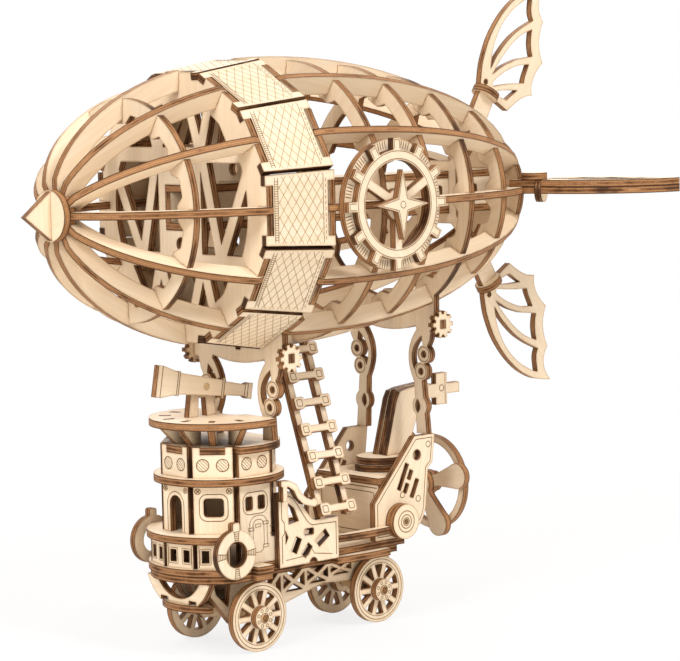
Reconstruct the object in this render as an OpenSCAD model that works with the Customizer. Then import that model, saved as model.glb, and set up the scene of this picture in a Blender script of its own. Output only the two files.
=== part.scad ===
// Desk model of an airship, built from laser-cut plywood sheets that slot together.
// The nose points to -X, port is -Y, and the wheels stand on Z = 0.

/* [Sheet] */
// Thickness of the plywood sheet
ply = 2; // [1.8:0.05:2.2]
// Clearance on each side of a slot
fit = 0.05; // [0.03:0.01:0.1]

/* [Hull] */
// Height of the hull's lowest rib over the lookout deck
keel_gap = 16.8; // [15:0.1:21]
// Greatest radius over the ribs
hull_r = 39.5; // [38:0.1:41]
// Where along the axis the hull is widest
widest_x = -14.1; // [-16:0.1:-12]
// Length of the hull ahead of its widest place
fore_len = 72.6; // [71.8:0.1:76]
// Fullness of the bow, 2 for a plain ellipse
bow_full = 2.1; // [2:0.02:2.3]
// Length of the curve behind the widest place
aft_len = 91; // [89:0.5:95]
// Depth of a rib, across its curve
rib_depth = 5.5; // [5:0.1:6]
// Place of the ring frame behind the medallions
ring_mid_x = -6.55; // [-7.5:0.05:-6]
// Spacing of the ring frames
ring_pitch = 18.65; // [18:0.05:19.2]
// How far a ring's rim lies below the ribs
ring_drop = 1; // [0.6:0.1:1.4]
// Width of a ring frame's band
ring_band = 4.2; // [3.6:0.1:5]
// Reach of the ring's gussets, inward from its rim
gusset_reach = 6.6; // [6:0.1:7.5]
// How far the nose cap's front face lies ahead of the ribs' curve
nose_ahead = 0.3; // [0:0.1:0.7]
// Radius of the nose cap
nose_cap_r = 6.6; // [6.2:0.1:7.2]
// Length of the nose spike
spike_len = 8; // [6:0.5:9]
// How far the tail disc's front face lies ahead of the end of the ribs' curve
tail_ahead = 9.9; // [9:0.1:12]
// Side of the square spine
spine_w = 12; // [11:0.5:13]

/* [Belt] */
// How much nearer the axis than the widest rib the belt panels lie at their front end
belt_drop_front = 6; // [5.5:0.1:6.5]
// How much nearer the axis than the widest rib the belt panels lie at their rear end
belt_drop_rear = 2.6; // [2.3:0.1:3.1]
// Width of the ears at a belt panel's corners
ear_w = 2.6; // [2:0.1:3.2]

/* [Medallion] */
// Radius over the spokes of the medallion wheel
medal_r = 17.4; // [16:0.1:18]
// Outer radius of the medallion wheel's rim
medal_rim_r = 14.4; // [13.8:0.1:15]
// Inner radius of the medallion wheel's rim
medal_hole_r = 11.6; // [11:0.1:12]
// Radius of the medallion wheel's hub
medal_hub_r = 4.2; // [3.5:0.1:5]

/* [Tail fins] */
// Reach of the fins from the hull's axis
fin_reach = 58.8; // [56:0.1:61]
// Length of a fin behind its foot
fin_len = 25.5; // [23.5:0.5:27.5]
// Place of a fin's foot behind the tail disc's front face
fin_foot_back = 2.5; // [1.5:0.1:3]
// Distance of a fin's foot from the axis
fin_foot_r = 27; // [26:0.1:28]
// Slope of a fin's foot
fin_slope = 30; // [26:1:34]
// How much nearer the axis the level fins stand
side_fin_drop = 6; // [5:0.5:7]

/* [Wheels] */
// Radius of a wheel
wheel_r = 9.35; // [9:0.05:9.6]
// Inner radius of a wheel's rim
rim_r = 7.1; // [6.8:0.1:7.4]
// Radius of a wheel's hub
hub_r = 3.4; // [3:0.1:3.8]
// Number of spokes in a wheel
spokes = 10; // [8:1:12]
// Radius of the axles
axle_r = 1; // [0.8:0.05:1.2]
// Running clearance round an axle, a pin or a shaft
run = 0.05; // [0.03:0.01:0.09]
// Front axle
front_axle_x = -32.7; // [-34:0.1:-31]
// Rear axle
rear_axle_x = 14.4; // [13:0.1:16]
// Outer face of the front wheels
front_track = 14.2; // [13.6:0.1:15]
// Outer face of the rear wheels
rear_track = 10.2; // [9.8:0.1:11]

/* [Gondola] */
// Underside of the floor
floor_z = 20.15; // [19.9:0.05:20.6]
// Axis of the tower
tower_x = -34; // [-34.6:0.1:-33]
// Outer distance of the tower's faces from its axis
tower_a = 15; // [14.6:0.1:15.2]
// Height of the gallery's panels
gallery_h = 6.7; // [6:0.1:7.4]
// Height of the tower's panels
tower_h = 13; // [12:0.1:14]
// Height of the parapet panels
parapet_h = 8.3; // [7.8:0.1:9]
// Height of the lookout deck's supports
support_h = 4.7; // [4:0.1:5.2]
// Radius of the floor under the tower
floor_r = 19.6; // [19.4:0.1:20.4]
// Radius of the gallery deck
gallery_r = 19.9; // [19.4:0.1:20.4]
// Radius of the ring between tower and parapet
mid_ring_r = 17.6; // [17:0.1:18.2]
// Radius of the lookout deck
lookout_r = 18.5; // [17.6:0.1:19]
// Rear end of the floor
floor_end_x = 20; // [19.6:0.1:21]
// Outer face of the chassis side plates
chassis_y = 7; // [6.6:0.1:7.2]

/* [Fittings] */
// Upward tilt of the telescope at rest
scope_tilt = 10; // [6:1:12]
// Height of the telescope's pivot above its deck
scope_h = 8.2; // [7.8:0.1:9]
// Radius of the telescope's pivot pin
pin_r = 0.8; // [0.7:0.05:0.9]
// Outer radius of a life ring
life_r = 6.6; // [6:0.1:7]
// Radius of the propeller over its blades
prop_r = 16.6; // [15.6:0.1:17.6]
// Angle between the propeller's two crossed bars
prop_cross = 72; // [60:1:90]
// Outer radius of the propeller's hoop
hoop_r = 13.7; // [13:0.1:14.4]
// Front face of the propeller
prop_x = 40.8; // [40:0.1:41.6]
// Height of the propeller's shaft
shaft_z = 35.2; // [34.6:0.1:36]
// Radius of the propeller's shaft
shaft_r = 1.5; // [1.2:0.1:1.8]

/* [Hidden] */
$fn = 48;

// Colours of the sheet's face and of the darker layers
pale = "Wheat";
warm = "BurlyWood";
deep = "Peru";

// Hull
ribs = 12;
rib_step = 360 / ribs;
curve_steps = 18;
rib_tip_r = 4.4;
slot_w = ply + 2 * fit;
nose_x = widest_x - fore_len - nose_ahead;
nose_back = nose_x + ply;
tail_x = widest_x + aft_len - tail_ahead;
tail_end_x = tail_x + 2 * ply;
// The ribs would meet inside this radius
rib_core_r = (ply / 2 + 0.15) / sin(rib_step / 2);
belt_x0 = st(-2) - ply / 2;
belt_x1 = st(-1) + ply / 2;
split_x = (belt_x0 + belt_x1) / 2;
belt_r_front = hull_r - belt_drop_front;
belt_r_rear = hull_r - belt_drop_rear;
belt_slope = atan((belt_r_rear - belt_r_front) / (belt_x1 - belt_x0));
belt_len = (belt_x1 - belt_x0) / cos(belt_slope);
half_face = tan(rib_step / 2);
medal_y = hull_r;
fin_u = [cos(fin_slope), -sin(fin_slope)];
fin_v = [sin(fin_slope), cos(fin_slope)];
fin_foot = [tail_x + fin_foot_back, fin_foot_r];
fin_end_x = fin_foot.x + fin_len;
strut_ribs = [5, 6, 7];
main_ribs = [0, 3, 6, 9];

// Levels of the gondola, from the floor up
floor_mid_z = floor_z + ply;
floor_top_z = floor_mid_z + ply;
gallery_z = floor_top_z + gallery_h;
tower_z = gallery_z + ply;
mid_ring_z = tower_z + tower_h;
parapet_z = mid_ring_z + ply;
top_z = parapet_z + parapet_h;
lookout_z = top_z + support_h;
lookout_top_z = lookout_z + ply;
hull_h = lookout_top_z + keel_gap + hull_r;
wall_y = tower_a;
rear_foot_z = 51.95;
// Life rings against the flats of the gallery and the floor
life_x = tower_x - 9.8;
life_y = 16.8;
life_z = gallery_z - 2.5;
// Trussed panels along the rear of the gondola
truss_x0 = tower_x + 6.4;
truss_x1 = tower_x + 27.6;
truss_top = 42.4;
truss_low = 33.6;
truss_z0 = floor_mid_z;
// Round bosses on the engine plates
hub_disc_at = [17.9, 29];
hub_disc_r = 4.9;
hub_disc_t = 3.2;

// Function values along the hull
function st(k) = ring_mid_x + ring_pitch * k;
function side_len(x) = x < widest_x ? fore_len : aft_len;
function full(x) = x < widest_x ? bow_full : 2;
function arch(x, r, l) = r * pow(max(0, 1 - pow(abs(x - widest_x) / l, full(x))), 1 / full(x));
function hull_rad(x) = arch(x, hull_r, side_len(x));
function inner_rad(x) = arch(x, hull_r - rib_depth, side_len(x) - rib_depth);
// Point of the bow's curve at turn t, 0 at the widest place and 90 at the tip
function bow_pt(r, l, t) = [widest_x - l * pow(sin(t), 2 / bow_full), r * pow(cos(t), 2 / bow_full)];
function bow_turn_x(x, l) = asin(pow((widest_x - x) / l, bow_full / 2));
function bow_turn_r(r, r_max) = acos(pow(r / r_max, bow_full / 2));
function belt_in(x) = belt_r_front + (x - belt_x0) * tan(belt_slope);
function lap_r(x) = (hull_rad(x) + inner_rad(x)) / 2;
function belt_lap_r(x) = (belt_in(x) + inner_rad(x)) / 2;
function mix(a, b, s) = a + (b - a) * s;
function bend(a, c, b, s) = mix(mix(a, c, s), mix(c, b, s), s);
function arc_pts(c, r, a0, a1, n) =
    [for (i = [0:n]) let (a = mix(a0, a1, i / n)) c + r * [cos(a), sin(a)]];

// Sheets laid across X, across Y and flat, from a drawing in the other two directions
module across_x(x, t = ply) translate([x, 0, 0]) rotate([90, 0, 90]) linear_extrude(t) children();
module across_y(y, t = ply) translate([0, y + t, 0]) rotate([90, 0, 0]) linear_extrude(t) children();
module flat(z, t = ply) translate([0, 0, z]) linear_extrude(t) children();
module at_hull() translate([0, 0, hull_h]) children();
module both_sides() {
    children();
    mirror([0, 1, 0]) children();
}
module mirror_y2d() {
    children();
    mirror([1, 0]) children();
}
// Sheet in a plane through the hull's axis, turned to rib number k
module in_rib_plane(k) rotate([rib_step * k, 0, 0]) across_y(-ply / 2) children();

// Drawing aids
module block(a, b) translate([min(a.x, b.x), min(a.y, b.y)]) square([abs(b.x - a.x), abs(b.y - a.y)]);
// Bar with round ends
module link(a, b, w) {
    d = b - a;
    n = [-d.y, d.x] / norm(d) * w / 2;
    translate(a) circle(w / 2);
    translate(b) circle(w / 2);
    polygon([a - n, b - n, b + n, a + n]);
}
module round_rect(c, w, h, r) {
    link(c + [r - w / 2, r - h / 2], c + [r - w / 2, h / 2 - r], 2 * r);
    link(c + [w / 2 - r, r - h / 2], c + [w / 2 - r, h / 2 - r], 2 * r);
    block(c - [w / 2 - r, h / 2], c + [w / 2 - r, h / 2]);
}
module strip(a, b, w) {
    d = b - a;
    n = [-d.y, d.x] / norm(d) * w / 2;
    polygon([a - n, b - n, b + n, a + n]);
}

// Nose
module nose_spike() {
    spike_hw = nose_cap_r - 0.3;
    color(pale) at_hull() across_y(-ply / 2)
        polygon([[nose_x, -spike_hw], [nose_x - spike_len, 0], [nose_x, spike_hw]]);
}
module nose_cap() {
    color(pale) at_hull() across_x(nose_x) circle(nose_cap_r);
}
// Slotted discs that hold the ends of the ribs, one behind the nose cap and one at the tail
module end_discs() {
    color(warm) at_hull() {
        across_x(nose_back) difference() {
            circle(nose_cap_r - 0.4);
            rib_slots(rib_tip_r - fit, nose_cap_r);
        }
        across_x(tail_x) difference() {
            circle(hull_rad(tail_x + ply / 2) - ring_drop);
            rib_slots(lap_r(tail_x + ply / 2) - fit, hull_r);
            spine_hole_2d();
        }
    }
}

// Ribs, each in a front and a rear length that meet under the belt
module ring_notch(x, r) block([x - slot_w / 2, 0], [x + slot_w / 2, r + fit]);
module front_rib_2d() {
    l_in = fore_len - rib_depth;
    r_in = hull_r - rib_depth;
    t0 = bow_turn_x(nose_back, fore_len);
    t1 = bow_turn_x(belt_x0, fore_len);
    s0 = bow_turn_r(rib_tip_r, r_in);
    s1 = bow_turn_x(split_x, l_in);
    land_x = belt_x0 + ply;
    outer = [for (i = [0:curve_steps]) bow_pt(hull_r, fore_len, mix(t0, t1, i / curve_steps))];
    inner = [for (i = [0:curve_steps]) bow_pt(r_in, l_in, mix(s1, s0, i / curve_steps))];
    difference() {
        polygon(concat([[nose_back, rib_tip_r]], outer,
            [[land_x, belt_in(land_x) + ply], [land_x, belt_in(land_x)], [split_x, belt_in(split_x)]],
            inner));
        ring_notch(st(-3), lap_r(st(-3)));
        ring_notch(st(-2), belt_lap_r(st(-2)));
    }
}
module front_ribs() {
    color(pale) at_hull() for (k = [0:ribs - 1]) in_rib_plane(k) front_rib_2d();
}
// The upright pair of main ribs carries long fin stubs, the level pair short ones and the medallions
module rear_rib_2d(upright, level) {
    land_x = belt_x1 - ply;
    xs = [for (i = [0:curve_steps]) mix(belt_x1, tail_end_x, i / curve_steps)];
    outer = [for (x = xs) [x, hull_rad(x)]];
    inner = [for (i = [curve_steps:-1:0]) [xs[i], max(inner_rad(xs[i]), rib_core_r)]];
    difference() {
        union() {
            polygon(concat(
                [[split_x, belt_in(split_x)], [land_x, belt_in(land_x)], [land_x, belt_in(land_x) + ply]],
                outer, inner, [[split_x, inner_rad(split_x)]]));
            if (upright) fin_stub_2d(12);
            if (level) translate([0, -side_fin_drop]) fin_stub_2d(8);
            if (level) block([ring_mid_x - medal_r, hull_r - 2], [ring_mid_x + medal_r, medal_y]);
        }
        ring_notch(st(-1), belt_lap_r(st(-1)));
        for (k = [0:3]) ring_notch(st(k), lap_r(st(k)));
        ring_notch(tail_x + ply / 2, lap_r(tail_x + ply / 2));
    }
}
// Stub that carries a tail fin's foot, with a tenon for half of the collar's slot
module fin_stub_2d(reach) {
    stub_hw = 3.2;
    translate(fin_foot) rotate(-fin_slope) {
        block([-stub_hw, -reach], [stub_hw, 0]);
        block([-collar_slot / 2, -0.1], [-fit, ply]);
    }
}
module rear_ribs() {
    color(pale) at_hull() for (k = [0:ribs - 1]) in_rib_plane(k)
        rear_rib_2d(k == 0 || k == 6, k == 3 || k == 9);
}

// Ring frames
module rib_slots(r0, r1) {
    for (k = [0:ribs - 1]) rotate(rib_step * k) block([r0, -slot_w / 2], [r1, slot_w / 2]);
}
module ring_2d(x) {
    r_out = hull_rad(x) - ring_drop;
    difference() {
        union() {
            difference() {
                circle(r_out);
                circle(r_out - ring_band);
            }
            intersection() {
                circle(r_out);
                for (k = [0:ribs - 1]) rotate(rib_step * k)
                    polygon([[r_out - gusset_reach, -2], [r_out - ring_band + 0.4, -5],
                        [r_out + 1, -5], [r_out + 1, 5], [r_out - ring_band + 0.4, 5],
                        [r_out - gusset_reach, 2]]);
            }
        }
        rib_slots(lap_r(x) - fit, hull_r + ply);
    }
}
module ring_frames() {
    color(pale) at_hull() {
        for (k = [-3, 0, 1]) across_x(st(k) - ply / 2) ring_2d(st(k));
        across_x(st(3) - ply / 2) {
            ring_2d(st(3));
            spider_2d(hull_rad(st(3)) - ring_drop - ring_band / 2);
        }
    }
}
// Square hub round the spine, with four arms out to a ring
module spider_2d(r) {
    difference() {
        union() {
            block([-spine_w / 2 - 3, -spine_w / 2 - 3], [spine_w / 2 + 3, spine_w / 2 + 3]);
            for (a = [45:90:315]) rotate(a) block([spine_w / 2, -1.6], [r, 1.6]);
        }
        spine_hole_2d();
    }
}
module spine_hole_2d() block([-1, -1] * (spine_w / 2 + fit), [1, 1] * (spine_w / 2 + fit));

// Twelve-sided bulkheads under the belt, with a trussed web
module bulkhead_2d(x) {
    apothem = belt_in(x - ply / 2);
    land_hw = belt_in(x) * half_face - ear_w - 2 * fit;
    web_r = apothem - 3;
    bar_z = 14;
    bar_w = 4;
    strut_w = 3.2;
    difference() {
        union() {
            difference() {
                rotate(rib_step / 2) circle(apothem / cos(rib_step / 2), $fn = ribs);
                circle(apothem - 5.5);
            }
            for (k = [0:ribs - 1]) rotate(rib_step * k)
                block([apothem - 1, -land_hw], [belt_in(x) + ply, land_hw]);
            intersection() {
                circle(web_r);
                union() {
                    mirror_y2d() {
                        strip([16.5, -bar_z], [9.6, bar_z], strut_w);
                        strip([16.5, -bar_z], [30, bar_z], strut_w);
                        for (s = [-1, 1]) {
                            strip([9, s * bar_z], [3.5, s * web_r], strut_w);
                            strip([24, s * bar_z], [14, s * web_r], strut_w);
                            strip([9, s * bar_z], [14, s * web_r], strut_w);
                        }
                    }
                    for (s = [-1, 1])
                        block([-web_r, s * bar_z - bar_w / 2], [web_r, s * bar_z + bar_w / 2]);
                    block([-spine_w / 2 - 3, -bar_z], [spine_w / 2 + 3, bar_z]);
                }
            }
        }
        spine_hole_2d();
        for (s = [-1, 1]) translate([0, s * (spine_w / 2 + 3.6)]) circle(1.8);
        rib_slots(belt_lap_r(x) - fit, hull_r + ply);
    }
}
module belt_bulkhead() {
    color(pale) at_hull() across_x(st(-2) - ply / 2) bulkhead_2d(st(-2));
}

// Legs that hang below a ring: eyelets, a crescent slot and a foot
leg_eye_1 = [14, -10];
leg_eye_2 = [12.7, -14.9];
leg_waist = [11.5, -18.6];
eyelet_r = 2.6;
gear_seat = 19;
gear_drop = 1.2;
gear_tab_h = 2.4;
// Leg with a bowed inner rim, two eyelets and a crescent opening between them
module leg_2d(bottom_r, foot_z, foot_y) {
    o = [0, -bottom_r];
    rim = [for (i = [0:8]) o + bend([11.8, -2.4], [4.8, -9.4], leg_waist + [-1.6, 0.6], i / 8)];
    gap = [for (i = [0:8]) o + bend([13.2, -4.8], [6.6, -9.4], [10.6, -15.4], i / 8)];
    difference() {
        union() {
            difference() {
                polygon(concat(rim, [o + leg_waist + [1.6, 0.6], o + leg_eye_2, o + leg_eye_1,
                    o + [16.4, -6], o + [17.6, -1]]));
                polygon(concat(gap, [o + leg_eye_2 + [-0.6, -0.2], o + leg_eye_2, o + leg_eye_1]));
            }
            translate(o + leg_eye_1) circle(eyelet_r);
            translate(o + leg_eye_2) circle(eyelet_r);
            polygon([[foot_y - 2, foot_z], [foot_y + 2, foot_z],
                o + leg_waist + [1.6, 0.8], o + leg_waist + [-1.6, 0.8]]);
            // Ear and tab that carry a gear
            block(o + [11, -gear_drop - 1.7], o + [gear_seat, 1.7 - gear_drop]);
            block(o + [gear_seat - 1, -gear_drop - gear_tab_h / 2],
                o + [gear_seat + ply, gear_tab_h / 2 - gear_drop]);
        }
        translate(o + leg_eye_1) circle(1);
        translate(o + leg_eye_2) circle(1);
    }
}
// Saddle, legs and gear ears added to a ring, with the ribs' windows cut through
module strut_2d(bottom_r, foot_z, foot_y) {
    saddle = 3.6;
    difference() {
        union() {
            intersection() {
                difference() {
                    circle(bottom_r + saddle);
                    circle(bottom_r - 3.4);
                }
                block([0.4 - gear_seat, -2 * bottom_r], [gear_seat - 0.4, -0.6 * bottom_r]);
            }
            mirror_y2d() leg_2d(bottom_r, foot_z, foot_y);
        }
        for (k = strut_ribs) rotate(-90 + rib_step * (6 - k))
            block([0, -slot_w / 2], [bottom_r + fit, slot_w / 2]);
    }
}
// The ribs' widest place inside each strut ring
front_strut_r = hull_rad(belt_x1);
rear_strut_r = hull_rad(st(2) - ply / 2);
module front_strut_ring() {
    color(pale) at_hull() across_x(st(-1) - ply / 2) {
        bulkhead_2d(st(-1));
        strut_2d(front_strut_r, top_z - hull_h, leg_waist.x);
    }
}
// Knob with a crescent slot, low on each rear leg
knob_y = 11.9;
module knob_slot_2d() {
    polygon(concat([for (i = [0:6]) bend([-0.8, 2], [-2.6, 0], [-0.8, -2], i / 6)],
        [for (i = [1:5]) bend([-0.8, -2], [1.4, 0], [-0.8, 2], i / 6)]));
}
module rear_strut_ring() {
    r = rear_strut_r;
    color(pale) at_hull() across_x(st(2) - ply / 2) {
        ring_2d(st(2));
        difference() {
            union() {
                strut_2d(r, rear_foot_z - hull_h, wall_y - 2.4);
                for (side = [-1, 1]) translate([side * knob_y, -r - 24.8]) circle(2.9);
            }
            translate([knob_y, -r - 24.8]) knob_slot_2d();
            translate([-knob_y, -r - 24.8]) mirror([1, 0]) knob_slot_2d();
        }
    }
}
module gear_2d() {
    teeth = 10;
    root_r = 2.9;
    tip_r = 3.8;
    difference() {
        union() {
            circle(root_r);
            for (k = [0:teeth - 1]) rotate(360 / teeth * k) block([root_r - 0.4, -0.55], [tip_r, 0.55]);
        }
        block([-slot_w / 2, -gear_tab_h / 2 - fit], [slot_w / 2, gear_tab_h / 2 + fit]);
    }
}
module strut_gears() {
    color(pale) at_hull() both_sides() for (s = [[st(-1), front_strut_r], [st(2), rear_strut_r]])
        across_y(-gear_seat - ply) translate([s[0], -gear_drop - s[1]]) gear_2d();
}

// Belt of twelve sloping panels
module belt_panel_2d(rear_ears) {
    gap = 0.06;
    u1 = (ply + fit + ply * sin(belt_slope)) / cos(belt_slope);
    u2 = (belt_x1 - ply - fit - belt_x0) / cos(belt_slope);
    w0 = belt_r_front * half_face - gap;
    w1 = belt_r_rear * half_face - gap;
    function hw(u) = mix(w0, w1, u / belt_len);
    half = concat([[u1, 0], [u1, hw(u1) - ear_w], [0, hw(0) - ear_w], [0, hw(0)]],
        rear_ears ? [[belt_len, hw(belt_len)], [belt_len, hw(belt_len) - ear_w], [u2, hw(u2) - ear_w]]
            : [[u2, hw(u2)]],
        [[u2, 0]]);
    polygon(half);
    mirror([0, 1]) polygon(half);
}
module belt_panels() {
    color(pale) at_hull() for (k = [0:ribs - 1]) rotate([rib_step * k, 0, 0])
        translate([belt_x0, 0, belt_r_front]) rotate([0, -belt_slope, 0])
            linear_extrude(ply) belt_panel_2d(len(search(k, strut_ribs)) == 0);
}

// Square spine along the axis, two plates level and two between them
spine_end_x = tail_x + ply;
spine_o = spine_w / 2;
module spine_decks() {
    color(warm) at_hull() for (z = [-spine_o, spine_o - ply])
        flat(z) block([belt_x0, -spine_o], [spine_end_x, spine_o]);
}
module spine_sides() {
    color(warm) at_hull() for (y = [-spine_o, spine_o - ply]) across_y(y) difference() {
        block([belt_x0, ply - spine_o], [spine_end_x, spine_o - ply]);
        for (x = [st(-1) + 6:7:spine_end_x - 6]) round_rect([x, 0], 4, 4, 0.8);
    }
}

// Bat-wing fin: a bowed leading edge, fingers from the foot and a scalloped trailing edge
module fin_2d() {
    n = 14;
    lead_foot = fin_foot - 4 * fin_u + ply * fin_v;
    heel = fin_foot + 9 * fin_u + ply * fin_v;
    tip = [fin_end_x, fin_reach];
    lead_ctrl = [lead_foot.x + 2, fin_reach - 7.3];
    p1 = tip - [0.5, 10.2];
    p2 = tip - [1.1, 22.7];
    p3 = tip - [6.1, 32.1];
    root = fin_foot + [1.6, 4.6];
    lead = [for (i = [0:n]) bend(lead_foot, lead_ctrl, tip, i / n)];
    function scallop(a, c, b) = [for (i = [1:6]) bend(a, c, b, i / 6)];
    function finger(k, s) =
        k == 0 ? bend(lead_foot, lead_ctrl, tip, s) :
        k == 1 ? bend(root, mix(root, p1, 0.5) + [-3.6, 2.6], p1, s) :
        k == 2 ? bend(root, mix(root, p2, 0.5) + [-1.6, 2.8], p2, s) :
        k == 3 ? bend(root + [1, -1.5], mix(root, p3, 0.5) + [0.6, 1], p3, s) :
        bend(heel - 3.5 * fin_u, heel, heel + [4, 1.8], s);
    // Gap between finger k and the next, half a finger in from each
    function gap(k, s0, s1, w0, w1) = concat(
        [for (i = [0:8]) let (s = mix(s0, s1, i / 8), a = finger(k, s), b = finger(k + 1, s))
            a + (b - a) / norm(b - a) * w0],
        [for (i = [8:-1:0]) let (s = mix(s0, s1, i / 8), a = finger(k, s), b = finger(k + 1, s))
            b + (a - b) / norm(a - b) * w1]);
    difference() {
        union() {
            polygon(concat(lead, scallop(tip, [tip.x - 5.3, mix(tip.y, p1.y, 0.5)], p1),
                scallop(p1, [p1.x - 3.7, mix(p1.y, p2.y, 0.5)], p2),
                scallop(p2, [p2.x - 6.9, mix(p2.y, p3.y, 0.5)], p3),
                scallop(p3, mix(p3, heel, 0.5) + [1, 1], heel)));
            translate(fin_foot) rotate(-fin_slope) block([fit, 0], [collar_slot / 2, ply + 1]);
        }
        polygon(gap(0, 0.34, 0.9, 2.8, 1.1));
        polygon(gap(1, 0.34, 0.88, 1.1, 1.1));
        polygon(gap(2, 0.32, 0.85, 1.1, 1.1));
        polygon(gap(3, 0.5, 0.78, 1.1, 1.6));
        translate(fin_foot + [1.1, 4.4]) circle(0.9);
    }
}
function foot_drop(k) = k == 3 || k == 9 ? side_fin_drop : 0;
module fins() {
    color(pale) at_hull() for (k = main_ribs) in_rib_plane(k) translate([0, -foot_drop(k)]) fin_2d();
}
// The level fins have a second leaf above the first
module fin_leaves() {
    color(pale) at_hull() for (k = [3, 9]) rotate([rib_step * k, 0, 0])
        across_y(k == 3 ? ply / 2 : -1.5 * ply) translate([0, -foot_drop(k)]) intersection() {
            fin_2d();
            translate(fin_foot) rotate(-fin_slope) block([-20, ply], [60, 60]);
        }
}
collar_slot = 6;
collar_w = 9;
module fin_collars() {
    color(deep) at_hull() for (k = main_ribs) rotate([rib_step * k, 0, 0])
        translate([fin_foot.x, 0, fin_foot.y - foot_drop(k)]) rotate([0, fin_slope, 0]) linear_extrude(ply)
            difference() {
                link([-1, 0], [1, 0], collar_w);
                block([-collar_slot / 2 - fit, -slot_w / 2], [collar_slot / 2 + fit, slot_w / 2]);
            }
}

// Medallions on the hull's sides, like a ship's wheel over a graduated ring
module on_medallion(layer) {
    at_hull() both_sides() across_y(-medal_y - (layer + 1) * ply) translate([ring_mid_x, 0]) children();
}
module medallion_backs() {
    color(warm) on_medallion(0) difference() {
        circle(medal_r - 0.2);
        circle(medal_hole_r + 0.8);
    }
}
module medallion_wheels() {
    color(pale) on_medallion(1) {
        difference() {
            circle(medal_rim_r);
            circle(medal_hole_r);
        }
        for (a = [0:30:330]) rotate(a) block([medal_rim_r - 0.5, -1.3], [medal_r, 1.3]);
        circle(medal_hub_r);
        for (a = [30, 150, 270]) rotate(a) block([medal_hub_r - 0.5, -1.2], [medal_hole_r + 0.5, 1.2]);
    }
}
module medallion_stars() {
    points = 4;
    color(pale) on_medallion(2) polygon([for (i = [0:2 * points - 1])
        let (r = i % 2 == 0 ? medal_hole_r - 2.4 : 2.6, a = 180 / points * i) r * [cos(a), sin(a)]]);
}

// Ladder from the port rail up to the hull's lowest rib
ladder_x = -7.2;
ladder_foot = [-wall_y - ply / 2, truss_low];
ladder_gauge = 9.4;
rungs = 7;
ladder_head_z = hull_h - hull_r;
ladder_lean = atan(-ladder_foot.x / (ladder_head_z - ladder_foot.y));
ladder_len = (ladder_head_z - ladder_foot.y) / cos(ladder_lean);
module on_ladder() {
    translate([ladder_x, ladder_foot.x, ladder_foot.y]) rotate([-ladder_lean, 0, 0]) children();
}
// Each rail stands level on the truss panel and ends level under the lowest rib
module ladder_rails() {
    color(pale) for (s = [-1, 1]) difference() {
        x0 = ladder_x + s * ladder_gauge / 2 - ply / 2;
        on_ladder() translate([s * ladder_gauge / 2 - ply / 2, -ply / 2, -3])
            cube([ply, ply, ladder_len + 6]);
        translate([x0 - 1, -30, ladder_foot.y - 10]) cube([ply + 2, 40, 10]);
        translate([x0 - 1, -20, hull_h - hull_rad(max(x0, widest_x))]) cube([ply + 2, 40, 10]);
    }
}
module ladder_rungs() {
    rung_h = 1.9;
    knob = 3.4;
    first = 1.9;
    pitch = 7.45;
    color(pale) on_ladder() for (k = [0:rungs - 1])
        across_y(-1.5 * ply) translate([0, first + pitch * k]) {
        block([-ladder_gauge / 2, -rung_h / 2], [ladder_gauge / 2, rung_h / 2]);
        for (s = [-1, 1]) round_rect([s * ladder_gauge / 2, 0], knob, knob, 0.7);
    }
}

// Floor and chassis
module floor_2d(r, y, x1) {
    intersection() {
        translate([tower_x, 0]) circle(r);
        block([tower_x - r, -life_y], [tower_x + 2.2, life_y]);
    }
    difference() {
        translate([tower_x, 0]) circle(r);
        block([tower_x - r, -r], [life_x + life_r, r]);
        block([tower_x + 2.2, -r], [tower_x + r, r]);
    }
    block([tower_x, -y], [x1, y]);
}
module floor_lower() {
    color(warm) flat(floor_z) {
        floor_2d(floor_r - 0.5, wall_y - 1, floor_end_x - 2);
        board_2d(wall_y - 2);
    }
}
module floor_upper() {
    color(warm) flat(floor_mid_z) floor_2d(floor_r, wall_y, floor_end_x);
}
// Bowed boards on both sides, between the truss panels and the engine plates
board_x0 = truss_x1;
board_x1 = hub_disc_at.x - hub_disc_r - 0.3;
board_y = 17.6;
module board_2d(y0) {
    bow_r = 60;
    for (s = [-1, 1]) intersection() {
        block([board_x0, s * y0], [board_x1, s * (board_y + 1)]);
        translate([mix(board_x0, board_x1, 0.6), s * (board_y - bow_r)]) circle(bow_r, $fn = 120);
    }
}
module running_boards() {
    color(warm) flat(floor_top_z + 2) board_2d(wall_y);
}
// Trussed side plate with a boss for each axle
module chassis_side_2d() {
    boss_r = 2.8;
    x0 = tower_x - 11;
    x1 = rear_axle_x + 7;
    z1 = floor_z;
    difference() {
        union() {
            polygon([[x0, z1], [x0 + 1.5, z1 - 5], [front_axle_x - 4, wheel_r - boss_r + 0.4],
                [front_axle_x + 4, wheel_r - boss_r + 0.4], [tower_x + 20, wheel_r + 1.4],
                [rear_axle_x - 18, wheel_r + 4], [rear_axle_x - 6, wheel_r + 3],
                [rear_axle_x - 2, wheel_r - 1], [rear_axle_x + 2, wheel_r - 1], [x1, z1 - 4], [x1, z1]]);
            for (x = [front_axle_x, rear_axle_x]) translate([x, wheel_r]) circle(boss_r);
        }
        for (x = [front_axle_x, rear_axle_x]) translate([x, wheel_r]) circle(axle_r + run);
        truss_gaps_2d(front_axle_x + 5.5, rear_axle_x - 7, z1 - 1.6);
        polygon([[x0 + 2.6, z1 - 1.8], [x0 + 3.2, z1 - 4.4], [front_axle_x - 5, wheel_r + 2.4],
            [front_axle_x - 4, z1 - 1.8]]);
    }
}
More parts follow.
